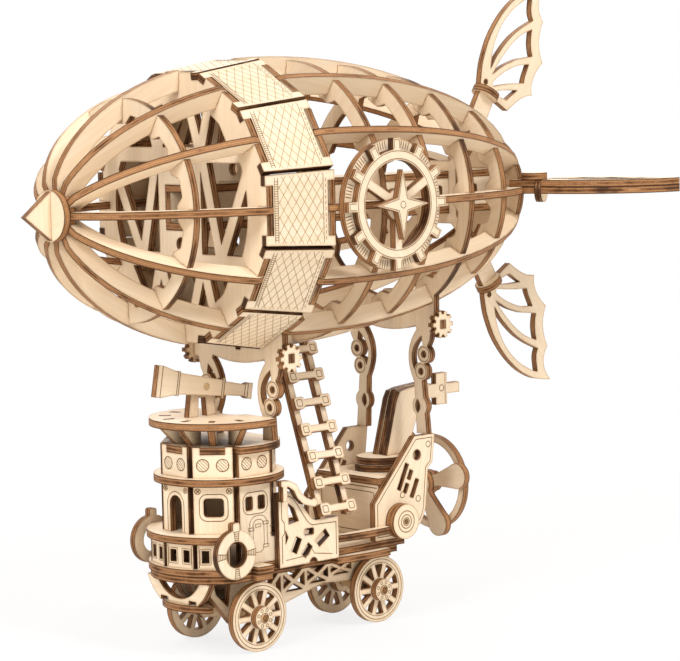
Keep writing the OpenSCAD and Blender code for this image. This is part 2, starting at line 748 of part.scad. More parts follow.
// Leaning pairs of openings between two crossing braces
module truss_gaps_2d(x0, x1, z1) {
    bays = 4;
    bay = (x1 - x0) / bays;
    for (i = [0:bays - 1]) {
        x = x0 + bay * i;
        z0 = mix(wheel_r + 2.4, wheel_r + 5.6, i / (bays - 1));
        polygon([[x + 1.2, z1], [x + bay - 1.2, z1], [x + bay / 2, mix(z0, z1, 0.56)]]);
        polygon([[x + 1.2, z0], [x + bay - 1.2, z0], [x + bay / 2, mix(z0, z1, 0.34)]]);
        polygon([[x + 0.5, z0 + 0.9], [x + 0.5, z1 - 0.9], [x + bay / 2 - 1.1, mix(z0, z1, 0.45)]]);
        polygon([[x + bay - 0.5, z0 + 0.9], [x + bay - 0.5, z1 - 0.9],
            [x + bay / 2 + 1.1, mix(z0, z1, 0.45)]]);
    }
}
module chassis_sides() {
    color(warm) both_sides() across_y(-chassis_y) chassis_side_2d();
}
bolster_x = tower_x - 15;
under_z = floor_z - 8.4;
module front_bolster() {
    color(warm) across_x(bolster_x) difference() {
        intersection() {
            translate([0, floor_z + 6]) circle(14.6);
            block([-14, under_z + ply], [14, floor_z]);
        }
        translate([0, floor_z + 5.4]) circle(10.6);
        for (s = [-1, 1]) block([s * 6 - 1.6, under_z], [s * 6 + 1.6, under_z + 3.2]);
    }
}
module under_plate() {
    color(deep) flat(under_z) {
        intersection() {
            translate([tower_x, 0]) circle(16.2);
            block([tower_x - 20, -10], [tower_x - 11.2, 10]);
        }
        block([tower_x - 12, fit + ply - chassis_y], [tower_x + 6, chassis_y - ply - fit]);
    }
}

// Gallery round the foot of the tower
module around_tower(angles) for (a = angles) translate([tower_x, 0, 0]) rotate(a) children();
gallery_a = 18.4;
module gallery_panels() {
    w = 2 * (gallery_a - ply) * tan(15) - 0.2;
    color(pale) around_tower([-45:30:45]) translate([-gallery_a, 0, floor_top_z]) across_x(0)
        difference() {
            block([-w / 2, 0], [w / 2, gallery_h]);
            for (s = [-1, 1]) block([s * w / 4 - 1, 1.7], [s * w / 4 + 1, 5]);
        }
}
module gallery_deck() {
    color(warm) flat(gallery_z) difference() {
        union() {
            intersection() {
                translate([tower_x, 0]) circle(gallery_r);
                block([tower_x - 30, -30], [tower_x + 2, 30]);
            }
            block([tower_x, fit + ply - wall_y], [tower_x + tower_a, wall_y - ply - fit]);
        }
        for (s = [-1, 1]) {
            block([side_wall_x0 - fit, s * (wall_y + 0.3)], [tower_x + 20, s * (wall_y - ply - fit)]);
            block([side_wall_x0 + 1, s * 30], [tower_x + 20, s * wall_y]);
            block([life_x - life_r, s * life_y], [tower_x + 20, s * 30]);
        }
    }
}

// Eight-sided tower
octo = tan(22.5);
face_w = 2 * (tower_a - ply) * octo - 0.1;
side_wall_x0 = tower_x - face_w / 2;
module wall_2d(h) block([-face_w / 2, 0], [face_w / 2, h]);
module arch_2d(w, h) {
    translate([0, h - w / 2]) circle(w / 2);
    block([-w / 2, 0], [w / 2, h - w / 2]);
}
module tower_panels() {
    color(pale) {
        // Doorway in the front face
        around_tower([0]) translate([-tower_a, 0, tower_z]) across_x(0) difference() {
            wall_2d(tower_h);
            arch_2d(5, 10);
        }
        // One wide window in each slanting face
        around_tower([-45, 45]) translate([-tower_a, 0, tower_z]) across_x(0) difference() {
            wall_2d(tower_h);
            round_rect([0, 7.2], 5.4, 5, 1);
        }
        // Plain faces behind
        around_tower([135, 180, 225]) translate([-tower_a, 0, tower_z]) across_x(0) wall_2d(tower_h);
    }
}
// Tall walls on the tower's sides, from the floor to the ring
side_wall_x1 = tower_x + 9.4;
module side_walls() {
    h = mid_ring_z - floor_top_z;
    color(pale) both_sides() across_y(-wall_y) translate([0, floor_top_z]) difference() {
        union() {
            block([side_wall_x0, 0], [tower_x + face_w / 2, h]);
            block([side_wall_x0, 0], [side_wall_x1, gallery_h]);
        }
        for (s = [-1, 1]) round_rect([tower_x + s * 2.1, h - 5.3], 2.5, 3.8, 0.6);
    }
}
module mid_ring() {
    color(warm) flat(mid_ring_z) difference() {
        translate([tower_x, 0]) circle(mid_ring_r);
        translate([tower_x, 0]) circle(tower_a - ply - 4);
    }
}
notch_w = 6.6;
ledge_r = 16.7;
module parapet_panels() {
    color(pale) {
        around_tower([-45, 0, 45]) translate([-tower_a, 0, parapet_z]) across_x(0) difference() {
            wall_2d(parapet_h);
            block([-notch_w / 2 - fit, parapet_h - ply], [notch_w / 2 + fit, parapet_h + 1]);
        }
        around_tower([90:45:270]) translate([-tower_a, 0, parapet_z]) across_x(0)
            wall_2d(parapet_h - ply);
    }
}
// Top plate, in the front panels' notches and over the others as a ledge for the front legs
module top_plate() {
    color(warm) flat(top_z - ply) translate([tower_x, 0]) {
        rotate(22.5) circle((tower_a - ply - fit) / cos(22.5), $fn = 8);
        for (a = [135, 180, 225]) rotate(a) block([0, -notch_w / 2], [tower_a, notch_w / 2]);
        intersection() {
            circle(ledge_r);
            block([-face_w / 2, -20], [14.4, 20]);
        }
    }
}
module deck_supports() {
    color(pale) around_tower([-75:30:75]) translate([0, 0, top_z]) across_y(-ply / 2)
        polygon([[-9, 0], [-12.6, 0], [1.5 - lookout_r, support_h], [-9, support_h]]);
}
scope_x = tower_x - 4.2;
scope_z = lookout_top_z + scope_h;
stand_gap = ply / 2 + 0.15;
module lookout_deck() {
    cut_x = tower_x + 8.8 - 3;
    color(warm) flat(lookout_z) difference() {
        intersection() {
            translate([tower_x, 0]) circle(lookout_r);
            block([tower_x - 30, -30], [cut_x, 30]);
        }
        translate([tower_x + 8.6, 0]) circle(6);
    }
}

// Telescope on its stand
module telescope_stand() {
    eye_r = 2.3;
    base_z = lookout_top_z;
    color(pale) across_y(stand_gap) difference() {
        union() {
            polygon([[scope_x - 4.7, base_z], [scope_x + 4.7, base_z],
                [scope_x + 3.6, scope_z - 0.6], [scope_x - 3.6, scope_z - 0.6]]);
            translate([scope_x, scope_z]) circle(eye_r);
        }
        translate([scope_x, scope_z]) circle(pin_r);
        polygon([[scope_x - 1.6, base_z - 1], [scope_x + 1.6, base_z - 1],
            [scope_x + 1.1, base_z + 5], [scope_x - 1.1, base_z + 5]]);
    }
}
module telescope_2d() {
    half = [[-16.8, 4.3], [-15.2, 4.3], [-10.2, 3.1], [-10.2, 3.3], [-9.2, 3.3], [-9.2, 2.9], [5.2, 2.2],
        [5.2, 2.7], [6.3, 2.7], [6.3, 1.9], [13.4, 1.6], [14.6, 2.2], [16, 2.2]];
    polygon(concat(half, [for (i = [len(half) - 1:-1:0]) [half[i].x, -half[i].y]]));
}
module telescope() {
    color(warm) translate([scope_x, 0, scope_z]) rotate([0, scope_tilt, 0]) across_y(-ply / 2)
        difference() {
            telescope_2d();
            circle(pin_r + run);
        }
}
module telescope_pin() {
    y1 = stand_gap + ply + 0.4;
    color(deep) translate([scope_x, y1, scope_z]) rotate([90, 0, 0])
        cylinder(h = y1 + ply / 2, r = pin_r);
}

// Life rings, each with a hook at its top
module life_rings() {
    color(pale) both_sides() across_y(-life_y - ply) translate([life_x, life_z]) difference() {
        union() {
            circle(life_r);
            round_rect([0, life_r + 0.2], 2.4, 3.4, 0.7);
        }
        circle(life_r - 3.1);
    }
}

// Trussed panels and handrails
// Top edge, falling in an S from the tower to the level where the ladder stands
rail_mid_x = truss_x0 + 8.7;
rail_half = 4.4;
function rail_z(x) = let (s = min(1, max(0, (x - rail_mid_x + rail_half) / (2 * rail_half))))
    mix(truss_top, truss_low, s * s * (3 - 2 * s));
module rail_area(dz) polygon(concat(
    [[truss_x0, truss_top + dz]],
    [for (i = [0:8]) let (x = rail_mid_x + rail_half * (i / 4 - 1)) [x, rail_z(x) + dz]],
    [[truss_x1, truss_low + dz], [truss_x1, truss_z0], [truss_x0, truss_z0]]));
module truss_panels() {
    z0 = truss_z0;
    color(pale) both_sides() across_y(-wall_y - ply) difference() {
        rail_area(0);
        polygon([[truss_x0 + 3.4, z0 + 11.5], [truss_x0 + 3.4, truss_top - 3],
            [truss_x0 + 5.4, truss_top - 4.5], [truss_x0 + 7, z0 + 12]]);
        polygon([[truss_x0 + 2.2, z0 + 6.2], [truss_x0 + 2.2, z0 + 10], [truss_x0 + 3.2, z0 + 8]]);
        round_rect([truss_x0 + 10.6, z0 + 8.6], 3.4, 1.9, 0.5);
        strip([truss_x0 + 5, z0 + 3.6], [truss_x0 + 7, z0 + 7.4], 2.2);
        strip([truss_x0 + 8.4, z0 + 2.2], [truss_x0 + 11, z0 + 5], 2);
        strip([truss_x0 + 13.4, z0 + 5], [truss_x0 + 17.2, z0 + 7.6], 2.6);
        translate([truss_x0 + 12, z0]) circle(1.4);
    }
}
// Rail that falls in an S to a curled end, on a short post against the panel
module handrails() {
    z = truss_top;
    x = truss_x0;
    color(pale) both_sides() across_y(-wall_y - 2 * ply) {
        polygon([[x - 0.6, z + 2], [x + 2, z + 1.8], [x + 3.8, z + 0.6], [x + 5.2, z - 1.8],
            [x + 7.2, z - 3.6], [x + 10.6, z - 4.6], [x + 11, z - 3], [x + 8.2, z - 1.9],
            [x + 6.4, z - 0.3], [x + 4.8, z + 2.2], [x + 2.5, z + 3.4], [x - 0.6, z + 3.6]]);
        translate([x + 11, z - 3.5]) circle(1.2);
        block([x, z - 2.2], [x + 1.5, z + 2.6]);
    }
}

// Engine housing at the stern
engine_x0 = 9;
engine_top = [[24.6, rear_foot_z], [32.4, rear_foot_z]];
engine_heel_r = 9;
module engine_2d() {
    heel = [28.6 - engine_heel_r, floor_top_z + engine_heel_r];
    polygon(concat(
        [[engine_x0, floor_top_z], [engine_x0, 34.6], engine_top[0], engine_top[1],
            [31.4, 44], [29.6, 42.4]],
        arc_pts(heel, engine_heel_r, 0, -90, 10)));
}
module engine_plates() {
    color(pale) both_sides() across_y(-wall_y) difference() {
        engine_2d();
        strip([18.2, 37.4], [21.6, 44.6], 1.5);
        strip([20.4, 36.4], [21.6, 39], 1.5);
        strip([22, 40], [23.2, 42.6], 1.5);
        strip([23, 34.8], [25.4, 39.8], 1.5);
        translate([25.4, 46.6]) circle(1.5);
    }
}
module hub_discs() {
    color(pale) both_sides() across_y(-wall_y - hub_disc_t, hub_disc_t)
        translate(hub_disc_at) circle(hub_disc_r);
}
cabin_z = 39.2;
cabin_front_x = 14.4;
cabin_rear_x = 27;
module cabin_walls() {
    w = wall_y - ply - fit;
    color(warm) {
        across_x(cabin_front_x - ply) block([-w, floor_top_z], [w, cabin_z]);
        // The rear wall holds the propeller's bearing
        across_x(cabin_rear_x) difference() {
            block([-w, floor_top_z + 5.6], [w, cabin_z]);
            translate([0, shaft_z]) circle(shaft_r + run);
        }
    }
}
module cabin_deck() {
    w = wall_y - ply - fit;
    color(warm) flat(cabin_z) block([cabin_front_x - ply, -w], [cabin_rear_x + ply, w]);
}
turret_x = 25;
turret_r = 7.2;
module turret_lower() {
    color(deep) flat(cabin_z + ply) translate([turret_x, 0]) circle(turret_r);
}
module turret_upper() {
    color(warm) flat(cabin_z + 2 * ply) translate([turret_x, 0]) circle(turret_r - 0.5);
}
// Leaning pipe cut as a flat profile in three layers
pipe_foot_z = cabin_z + 3 * ply;
pipe_arm_z = 61.4;
module pipe_post_2d() {
    polygon([[turret_x, pipe_foot_z], [turret_x + 7.8, pipe_foot_z],
        [turret_x + 13.5, pipe_arm_z - 3], [turret_x + 17, pipe_arm_z - 2.4],
        [turret_x + 17, pipe_arm_z + 3], [turret_x + 8.6, pipe_arm_z + 2.3],
        [turret_x + 5.6, pipe_arm_z + 1.6], [turret_x + 4.4, pipe_arm_z - 0.5]]);
}
module pipe_cheeks() {
    color(pale) for (y = [-1.5 * ply, ply / 2]) across_y(y) pipe_post_2d();
}
// The middle layer runs on past the cheeks to a flange and a stub
module pipe_core() {
    flange_x = turret_x + 21.8;
    color(warm) across_y(-ply / 2) difference() {
        union() {
            translate([0.5, 0.4]) pipe_post_2d();
            block([turret_x + 14, pipe_arm_z - 1.8], [flange_x + 1, pipe_arm_z + 2.2]);
            block([flange_x, pipe_arm_z - 4], [flange_x + 4.4, pipe_arm_z + 5.2]);
            block([flange_x + 4, pipe_arm_z - 1], [flange_x + 9.4, pipe_arm_z + 2]);
            block([turret_x + 0.6, pipe_foot_z], [turret_x + 7.8, pipe_foot_z + 1]);
        }
        block([turret_x - 10, pipe_foot_z - 5], [turret_x + 10, pipe_foot_z]);
    }
}

// Propeller of two crossed bars, with a hoop behind them
blade_w = 7.4;
blade_turn = 167;
// Blade that widens from a narrow neck to a round end
module blade_2d() {
    end_x = prop_r - blade_w / 2;
    translate([end_x, 0]) circle(blade_w / 2);
    polygon([[0, -1.6], [5, -1.8], [end_x, -blade_w / 2], [end_x, blade_w / 2], [5, 1.8], [0, 1.6]]);
}
module propeller_bar(x, turn) {
    across_x(x) translate([0, shaft_z]) difference() {
        union() {
            circle(3.6);
            for (a = [0, 180]) rotate(turn + a) blade_2d();
        }
        circle(shaft_r);
    }
}
module propeller_front() color(pale) propeller_bar(prop_x, blade_turn + prop_cross);
module propeller_rear() color(pale) propeller_bar(prop_x + ply, blade_turn);
module propeller_hoop() {
    color(pale) across_x(prop_x + 2 * ply) translate([0, shaft_z]) {
        difference() {
            circle(hoop_r);
            circle(hoop_r - 2);
        }
        difference() {
            union() {
                circle(3);
                for (a = [0, 180]) rotate(blade_turn + a) block([0, -1], [hoop_r - 1, 1]);
            }
            circle(shaft_r);
        }
    }
}
module propeller_shaft() {
    x0 = cabin_rear_x - 1;
    x1 = prop_x + 3 * ply + 1;
    color(deep) translate([x0, 0, shaft_z]) rotate([0, 90, 0]) cylinder(h = x1 - x0, r = shaft_r);
}

// Wheels, each a spoked disc with a boss, on through axles
module wheel_2d() {
    spoke_w = 1.5;
    difference() {
        union() {
            difference() {
                circle(wheel_r);
                circle(rim_r);
            }
            circle(hub_r);
            for (k = [0:spokes - 1]) rotate(360 / spokes * k)
                block([hub_r - 0.5, -spoke_w / 2], [rim_r + 0.5, spoke_w / 2]);
        }
        circle(axle_r);
    }
}
module axle(x, track) {
    l = 2 * (track + ply + 0.4);
    translate([x, l / 2, wheel_r]) rotate([90, 0, 0]) cylinder(h = l, r = axle_r);
}
module wheel_pair(x, track) both_sides() across_y(-track) translate([x, wheel_r]) wheel_2d();
module hub_pair(x, track) both_sides() across_y(-track - ply) translate([x, wheel_r]) difference() {
    circle(hub_r - 0.3);
    circle(axle_r);
}
module front_axle() color(deep) axle(front_axle_x, front_track);
module rear_axle() color(deep) axle(rear_axle_x, rear_track);
module front_wheels() color(pale) wheel_pair(front_axle_x, front_track);
module rear_wheels() color(pale) wheel_pair(rear_axle_x, rear_track);
module front_hubs() color(pale) hub_pair(front_axle_x, front_track);
module rear_hubs() color(pale) hub_pair(rear_axle_x, rear_track);

nose_spike();
nose_cap();
end_discs();
front_ribs();
rear_ribs();
ring_frames();
belt_bulkhead();
front_strut_ring();
belt_panels();
rear_strut_ring();
spine_decks();
spine_sides();
fins();
fin_leaves();
fin_collars();
medallion_backs();
medallion_wheels();
medallion_stars();
strut_gears();
ladder_rails();
ladder_rungs();
floor_lower();
floor_upper();
chassis_sides();
front_bolster();
under_plate();
gallery_panels();
gallery_deck();
tower_panels();
side_walls();
mid_ring();
parapet_panels();
top_plate();
deck_supports();
lookout_deck();
telescope_stand();
telescope();
telescope_pin();
life_rings();
truss_panels();
handrails();
running_boards();
engine_plates();
hub_discs();
cabin_walls();
cabin_deck();
turret_lower();
turret_upper();
pipe_cheeks();
pipe_core();
propeller_front();
propeller_rear();
propeller_hoop();
propeller_shaft();
front_axle();
front_wheels();
front_hubs();
rear_axle();
rear_wheels();
rear_hubs();
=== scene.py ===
import math

import bmesh
import bpy
import numpy as np
from mathutils import Matrix, Vector


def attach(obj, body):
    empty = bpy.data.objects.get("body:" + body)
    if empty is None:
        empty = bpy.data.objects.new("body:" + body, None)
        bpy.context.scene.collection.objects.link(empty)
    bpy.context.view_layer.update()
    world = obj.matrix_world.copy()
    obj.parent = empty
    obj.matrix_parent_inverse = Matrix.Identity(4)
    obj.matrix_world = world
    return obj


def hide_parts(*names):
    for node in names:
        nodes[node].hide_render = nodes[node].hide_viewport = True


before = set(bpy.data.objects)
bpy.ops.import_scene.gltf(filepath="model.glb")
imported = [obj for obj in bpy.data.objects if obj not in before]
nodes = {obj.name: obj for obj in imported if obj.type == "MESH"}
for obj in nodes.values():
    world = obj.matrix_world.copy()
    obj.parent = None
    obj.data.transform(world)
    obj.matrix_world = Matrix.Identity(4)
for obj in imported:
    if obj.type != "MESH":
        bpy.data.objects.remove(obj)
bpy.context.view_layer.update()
MM = 0.001
scene = bpy.context.scene
scene.view_settings.view_transform = "Standard"

# Sizes repeated from the solids, in millimetres
PLY = 2.0
HULL_H = 119.15
HULL_R = 39.5
RING_MID_X = -6.55
RING_PITCH = 18.65
TOWER_X = -34.0
TOWER_A = 15.0
GALLERY_A = 18.4
FLOOR_TOP = 24.15
GALLERY_TOP = 32.85
MID_RING_Z = 45.85
PARAPET_Z = 47.85


def arc(c, r, a0, a1, steps):
    """Points on an arc round c between two angles in radians, both ends included."""
    turns = [a0 + (a1 - a0) * i / steps for i in range(steps + 1)]
    return [(c[0] + r * math.cos(a), c[1] + r * math.sin(a)) for a in turns]


def loop(c, r, steps):
    """Points on a closed circle round c."""
    return arc(c, r, 0.0, 2 * math.pi, steps)[:-1]


# Materials
class Graph:
    """Small helper that adds and joins shader nodes."""

    def __init__(self, name):
        self.mat = bpy.data.materials.new(name)
        self.mat.use_nodes = True
        self.tree = self.mat.node_tree
        self.bsdf = self.tree.nodes["Principled BSDF"]

    def add(self, kind, **values):
        n = self.tree.nodes.new("ShaderNode" + kind)
        for k, v in values.items():
            if hasattr(n, k):
                setattr(n, k, v)
            else:
                n.inputs[k.replace("_", " ")].default_value = v
        return n

    def join(self, a, b):
        self.tree.links.new(a, b)

    def math(self, op, a, b=None, c=None):
        n = self.tree.nodes.new("ShaderNodeMath")
        n.operation = op
        for i, v in enumerate((a, b, c)):
            if v is None:
                continue
            if isinstance(v, (int, float)):
                n.inputs[i].default_value = v
            else:
                self.join(v, n.inputs[i])
        return n.outputs[0]

    def scaled(self, vec, factors):
        n = self.tree.nodes.new("ShaderNodeVectorMath")
        n.operation = "MULTIPLY"
        self.join(vec, n.inputs[0])
        n.inputs[1].default_value = factors
        return n.outputs[0]

    def noise(self, vec, scale, detail=3.0, rough=0.5, distort=0.0):
        n = self.tree.nodes.new("ShaderNodeTexNoise")
        n.inputs["Scale"].default_value = scale
        n.inputs["Detail"].default_value = detail
        n.inputs["Roughness"].default_value = rough
        n.inputs["Distortion"].default_value = distort
        self.join(vec, n.inputs["Vector"])
        return n.outputs["Fac"]

    def ramp(self, fac, stops):
        n = self.tree.nodes.new("ShaderNodeValToRGB")
        el = n.color_ramp.elements
        while len(el) < len(stops):
            el.new(0.5)
        for e, (p, c) in zip(el, stops):
            e.position = p
            e.color = (c[0], c[1], c[2], 1.0) if isinstance(c, tuple) else (c, c, c, 1.0)
        self.join(fac, n.inputs[0])
        return n.outputs[0]

    def blend(self, fac, a, b, mode="MIX"):
        n = self.tree.nodes.new("ShaderNodeMix")
        n.data_type = "RGBA"
        n.blend_type = mode
        for socket, v in ((n.inputs[0], fac), (n.inputs[6], a), (n.inputs[7], b)):
            if isinstance(v, tuple):
                socket.default_value = (v[0], v[1], v[2], 1.0)
            elif isinstance(v, (int, float)):
                socket.default_value = v
            else:
                self.join(v, socket)
        return n.outputs[2]

    def bump(self, height, strength, distance):
        n = self.tree.nodes.new("ShaderNodeBump")
        n.inputs["Strength"].default_value = strength
        n.inputs["Distance"].default_value = distance
        self.join(height, n.inputs["Height"])
        self.join(n.outputs[0], self.bsdf.inputs["Normal"])

    def attribute(self, name):
        n = self.tree.nodes.new("ShaderNodeAttribute")
        n.attribute_name = name
        return n


def face_material(name, light, dark, singe):
    g = Graph(name)
    sheet = g.attribute("sheet").outputs["Vector"]
    tone = g.attribute("tone").outputs["Fac"]
    grain = g.noise(g.scaled(sheet, (0.03, 0.75, 0.0)), 1.0, 5.0, 0.55, 0.25)
    fine = g.noise(g.scaled(sheet, (0.16, 5.5, 0.0)), 1.0, 3.0, 0.6)
    pores = g.noise(g.scaled(sheet, (0.55, 9.0, 0.0)), 1.0, 2.0, 0.5)
    cloud = g.noise(g.scaled(sheet, (0.06, 0.09, 0.0)), 1.0, 2.0, 0.5)
    colour = g.blend(g.ramp(grain, [(0.34, 0.0), (0.66, 1.0)]), light, dark)
    colour = g.blend(g.ramp(fine, [(0.42, 0.0), (0.74, 0.45)]), colour, dark)
    colour = g.blend(g.ramp(pores, [(0.66, 0.0), (0.78, 0.35)]), colour, singe)
    colour = g.blend(g.ramp(cloud, [(0.4, 0.0), (0.7, 0.4)]), colour, dark)
    shade = g.math("MULTIPLY_ADD", g.math("FRACT", g.math("MULTIPLY", tone, 7.3)), 0.09, 0.93)
    tint = g.add("CombineColor")
    for i in range(3):
        g.join(shade, tint.inputs[i])
    colour = g.blend(1.0, colour, tint.outputs[0], "MULTIPLY")
    # Smoke left by the cut along each border of the sheet
    near = g.add("AmbientOcclusion", inside=True, only_local=True, samples=6)
    near.inputs["Distance"].default_value = 0.55 * MM
    smoke = g.ramp(near.outputs["AO"], [(0.45, 1.0), (0.97, 0.0)])
    patchy = g.noise(g.scaled(sheet, (0.5, 0.5, 0.5)), 1.0, 2.0, 0.6)
    smoke = g.math("MULTIPLY", smoke, g.ramp(patchy, [(0.3, 0.55), (0.7, 1.0)]))
    colour = g.blend(smoke, colour, singe)
    # Painted shade: the face is darkened in the closed corners and hollows of the model, where shade
    # falls
    corner_shade_ao = g.add("AmbientOcclusion", samples=6)
    corner_shade_ao.inputs["Distance"].default_value = 14.0 * MM
    painted_corner_shade = g.ramp(corner_shade_ao.outputs["AO"], [(0.05, 0.95), (0.33, 0.0)])
    # The painted shade mixes the face towards dark brown where the corners are closed in
    colour = g.blend(painted_corner_shade, colour, (0.1, 0.05, 0.022))
    g.join(colour, g.bsdf.inputs["Base Color"])
    g.join(g.math("MULTIPLY_ADD", fine, 0.2, 0.5), g.bsdf.inputs["Roughness"])
    g.bsdf.inputs["Specular IOR Level"].default_value = 0.28
    g.bump(g.math("ADD", fine, g.math("MULTIPLY", pores, 0.6)), 0.16, 0.12 * MM)
    return g.mat


def edge_material(name, light, mid, core, dark):
    g = Graph(name)
    place = g.attribute("sheet").outputs["Vector"]
    tone = g.attribute("tone").outputs["Fac"]
    depth = g.add("SeparateXYZ")
    g.join(place, depth.inputs[0])
    wave = g.noise(g.scaled(place, (0.25, 0.25, 0.2)), 1.0, 2.0, 0.5)
    w = g.math("ADD", depth.outputs[2], g.math("MULTIPLY_ADD", wave, 0.14, -0.07))
    # Burnt borders and three plies, lightly burnt and with a dark core
    pale = g.ramp(w, [(0.04, dark), (0.15, mid), (0.28, light), (0.36, mid), (0.44, light),
                      (0.58, light), (0.65, mid), (0.72, light), (0.85, mid), (0.96, dark)])
    burnt = g.ramp(w, [(0.05, dark), (0.13, mid), (0.24, light), (0.33, mid), (0.44, core),
                       (0.56, core), (0.67, mid), (0.76, light), (0.87, mid), (0.95, dark)])
    scorch = g.noise(g.scaled(place, (0.1, 0.1, 0.3)), 1.0, 3.0, 0.55)
    scorch = g.math("ADD", scorch, g.math("MULTIPLY_ADD", tone, 0.26, -0.13))
    colour = g.blend(g.ramp(scorch, [(0.36, 0.0), (0.58, 1.0)]), pale, burnt)
    speckle = g.noise(g.scaled(place, (2.6, 2.6, 1.6)), 1.0, 4.0, 0.7)
    colour = g.blend(g.ramp(speckle, [(0.45, 0.0), (0.8, 0.45)]), colour, core)
    colour = g.blend(g.ramp(scorch, [(0.55, 0.0), (0.74, 0.85)]), colour, dark)
    g.join(colour, g.bsdf.inputs["Base Color"])
    g.join(g.math("MULTIPLY_ADD", speckle, 0.25, 0.5), g.bsdf.inputs["Roughness"])
    g.bsdf.inputs["Specular IOR Level"].default_value = 0.2
    g.bump(speckle, 0.12, 0.1 * MM)
    return g.mat


def line_material(name, light, dark):
    g = Graph(name)
    place = g.add("TexCoord").outputs["Object"]
    blot = g.noise(place, 900.0, 3.0, 0.6)
    g.join(g.blend(g.ramp(blot, [(0.35, 0.0), (0.68, 1.0)]), light, dark), g.bsdf.inputs["Base Color"])
    g.join(g.math("MULTIPLY_ADD", blot, 0.2, 0.6), g.bsdf.inputs["Roughness"])
    g.bsdf.inputs["Specular IOR Level"].default_value = 0.1
    return g.mat


def dowel_material(name, light, dark):
    g = Graph(name)
    sheet = g.attribute("sheet").outputs["Vector"]
    grain = g.noise(g.scaled(sheet, (0.2, 4.0, 3.0)), 1.0, 4.0, 0.6)
    g.join(g.blend(g.ramp(grain, [(0.35, 0.0), (0.68, 1.0)]), light, dark), g.bsdf.inputs["Base Color"])
    g.join(g.math("MULTIPLY_ADD", grain, 0.2, 0.45), g.bsdf.inputs["Roughness"])
    g.bsdf.inputs["Specular IOR Level"].default_value = 0.3
    g.bump(grain, 0.2, 0.1 * MM)
    return g.mat


FACE = face_material("plywood_face", (0.905, 0.757, 0.585), (0.83, 0.662, 0.47), (0.4, 0.228, 0.098))
EDGE = edge_material("plywood_cut_edge", (0.46, 0.235, 0.105), (0.25, 0.113, 0.043),
                     (0.095, 0.035, 0.01), (0.036, 0.013, 0.005))
LINE = line_material("engraved_line", (0.30, 0.185, 0.085), (0.15, 0.08, 0.03))
NET = line_material("engraved_net", (0.52, 0.375, 0.20), (0.38, 0.25, 0.12))
BURNT = line_material("burnt_end", (0.27, 0.14, 0.058), (0.085, 0.036, 0.014))
DOWEL = dowel_material("dowel", (0.72, 0.52, 0.30), (0.50, 0.31, 0.15))
DOWEL_NODES = {"propeller_shaft", "front_axle", "rear_axle", "telescope_pin"}
rng = np.random.default_rng(11)


def dress(obj, dowel, facing, burn):
    """Gives each sheet of a node its own grain, and tells its faces from its cut edges."""
    me = obj.data
    co = np.empty(len(me.vertices) * 3)
    me.vertices.foreach_get("co", co)
    co = co.reshape(-1, 3)
    inv = np.unique(np.round(co * 1e6).astype(np.int64), axis=0, return_inverse=True)[1].reshape(-1)
    corner = np.empty(len(me.loops), np.int64)
    me.loops.foreach_get("vertex_index", corner)
    start = np.empty(len(me.polygons), np.int64)
    me.polygons.foreach_get("loop_start", start)
    tri = corner[start[:, None] + np.arange(3)]
    welded = inv[tri]
    label = np.arange(inv.max() + 1)
    while True:
        before = label.copy()
        low = label[welded].min(axis=1)
        for k in range(3):
            np.minimum.at(label, welded[:, k], low)
        label = label[label]
        if (label == before).all():
            break
    piece = label[welded[:, 0]]
    cross = np.cross(co[tri[:, 1]] - co[tri[:, 0]], co[tri[:, 2]] - co[tri[:, 0]])
    area = np.linalg.norm(cross, axis=1)
    normal = cross / np.maximum(area, 1e-18)[:, None]
    sheet = np.zeros((len(me.loops), 3), np.float32)
    tone = np.zeros(len(me.loops), np.float32)
    which = np.ones(len(me.polygons), np.int32)
    for p in np.unique(piece):
        own = np.nonzero(piece == p)[0]
        n = normal[own]
        sign = np.sign(n[:, 2] + 1e-3 * n[:, 1] + 1e-5 * n[:, 0])
        n = n * np.where(sign == 0, 1, sign)[:, None]
        keys, group = np.unique(np.round(n * 40).astype(int), axis=0, return_inverse=True)
        weight = np.bincount(group.reshape(-1), weights=area[own])
        if facing:
            weight = weight * (np.abs(keys @ np.array(facing)) + 1.0)
        main = keys[weight.argmax()] / 40.0
        main = main / np.linalg.norm(main)
        near = np.abs(n @ main) > 0.985
        main = (n[near] * area[own][near, None]).sum(axis=0)
        main = main / np.linalg.norm(main)
        pts = co[tri[own].reshape(-1)]
        flat = pts - pts.mean(axis=0)
        deep = flat @ main
        if dowel:
            main = np.linalg.eigh(flat.T @ flat)[1][:, 0]
            deep = flat @ main
        flat = flat - np.outer(deep, main)
        along = np.linalg.eigh(flat.T @ flat)[1][:, 2]
        across = np.cross(main, along)
        shift = rng.uniform(0, 400, 2)
        loops = (start[own][:, None] + np.arange(3)).reshape(-1)
        thick = max(deep.max() - deep.min(), 1e-9)
        sheet[loops, 0] = flat @ along / MM + shift[0]
        sheet[loops, 1] = flat @ across / MM + shift[1]
        sheet[loops, 2] = deep / MM if dowel else (deep - deep.min()) / thick
        tone[loops] = burn + rng.uniform(-0.3, 0.3)
        flat_side = along if dowel else main
        which[own] = np.where(np.abs(normal[own] @ flat_side) > 0.9, 0, 1)
    me.attributes.new("sheet", "FLOAT_VECTOR", "CORNER").data.foreach_set("vector", sheet.reshape(-1))
    me.attributes.new("tone", "FLOAT", "CORNER").data.foreach_set("value", tone)
    me.materials.clear()
    if dowel:
        me.materials.append(DOWEL if obj.name.startswith("telescope") else BURNT)
        me.materials.append(DOWEL)
    else:
        me.materials.append(FACE)
        me.materials.append(EDGE)
    me.polygons.foreach_set("material_index", which)
    me.update()


# Square bars show the sheet's face on the sides named here
FACING = {"ladder_rails": (0, 1, 0)}
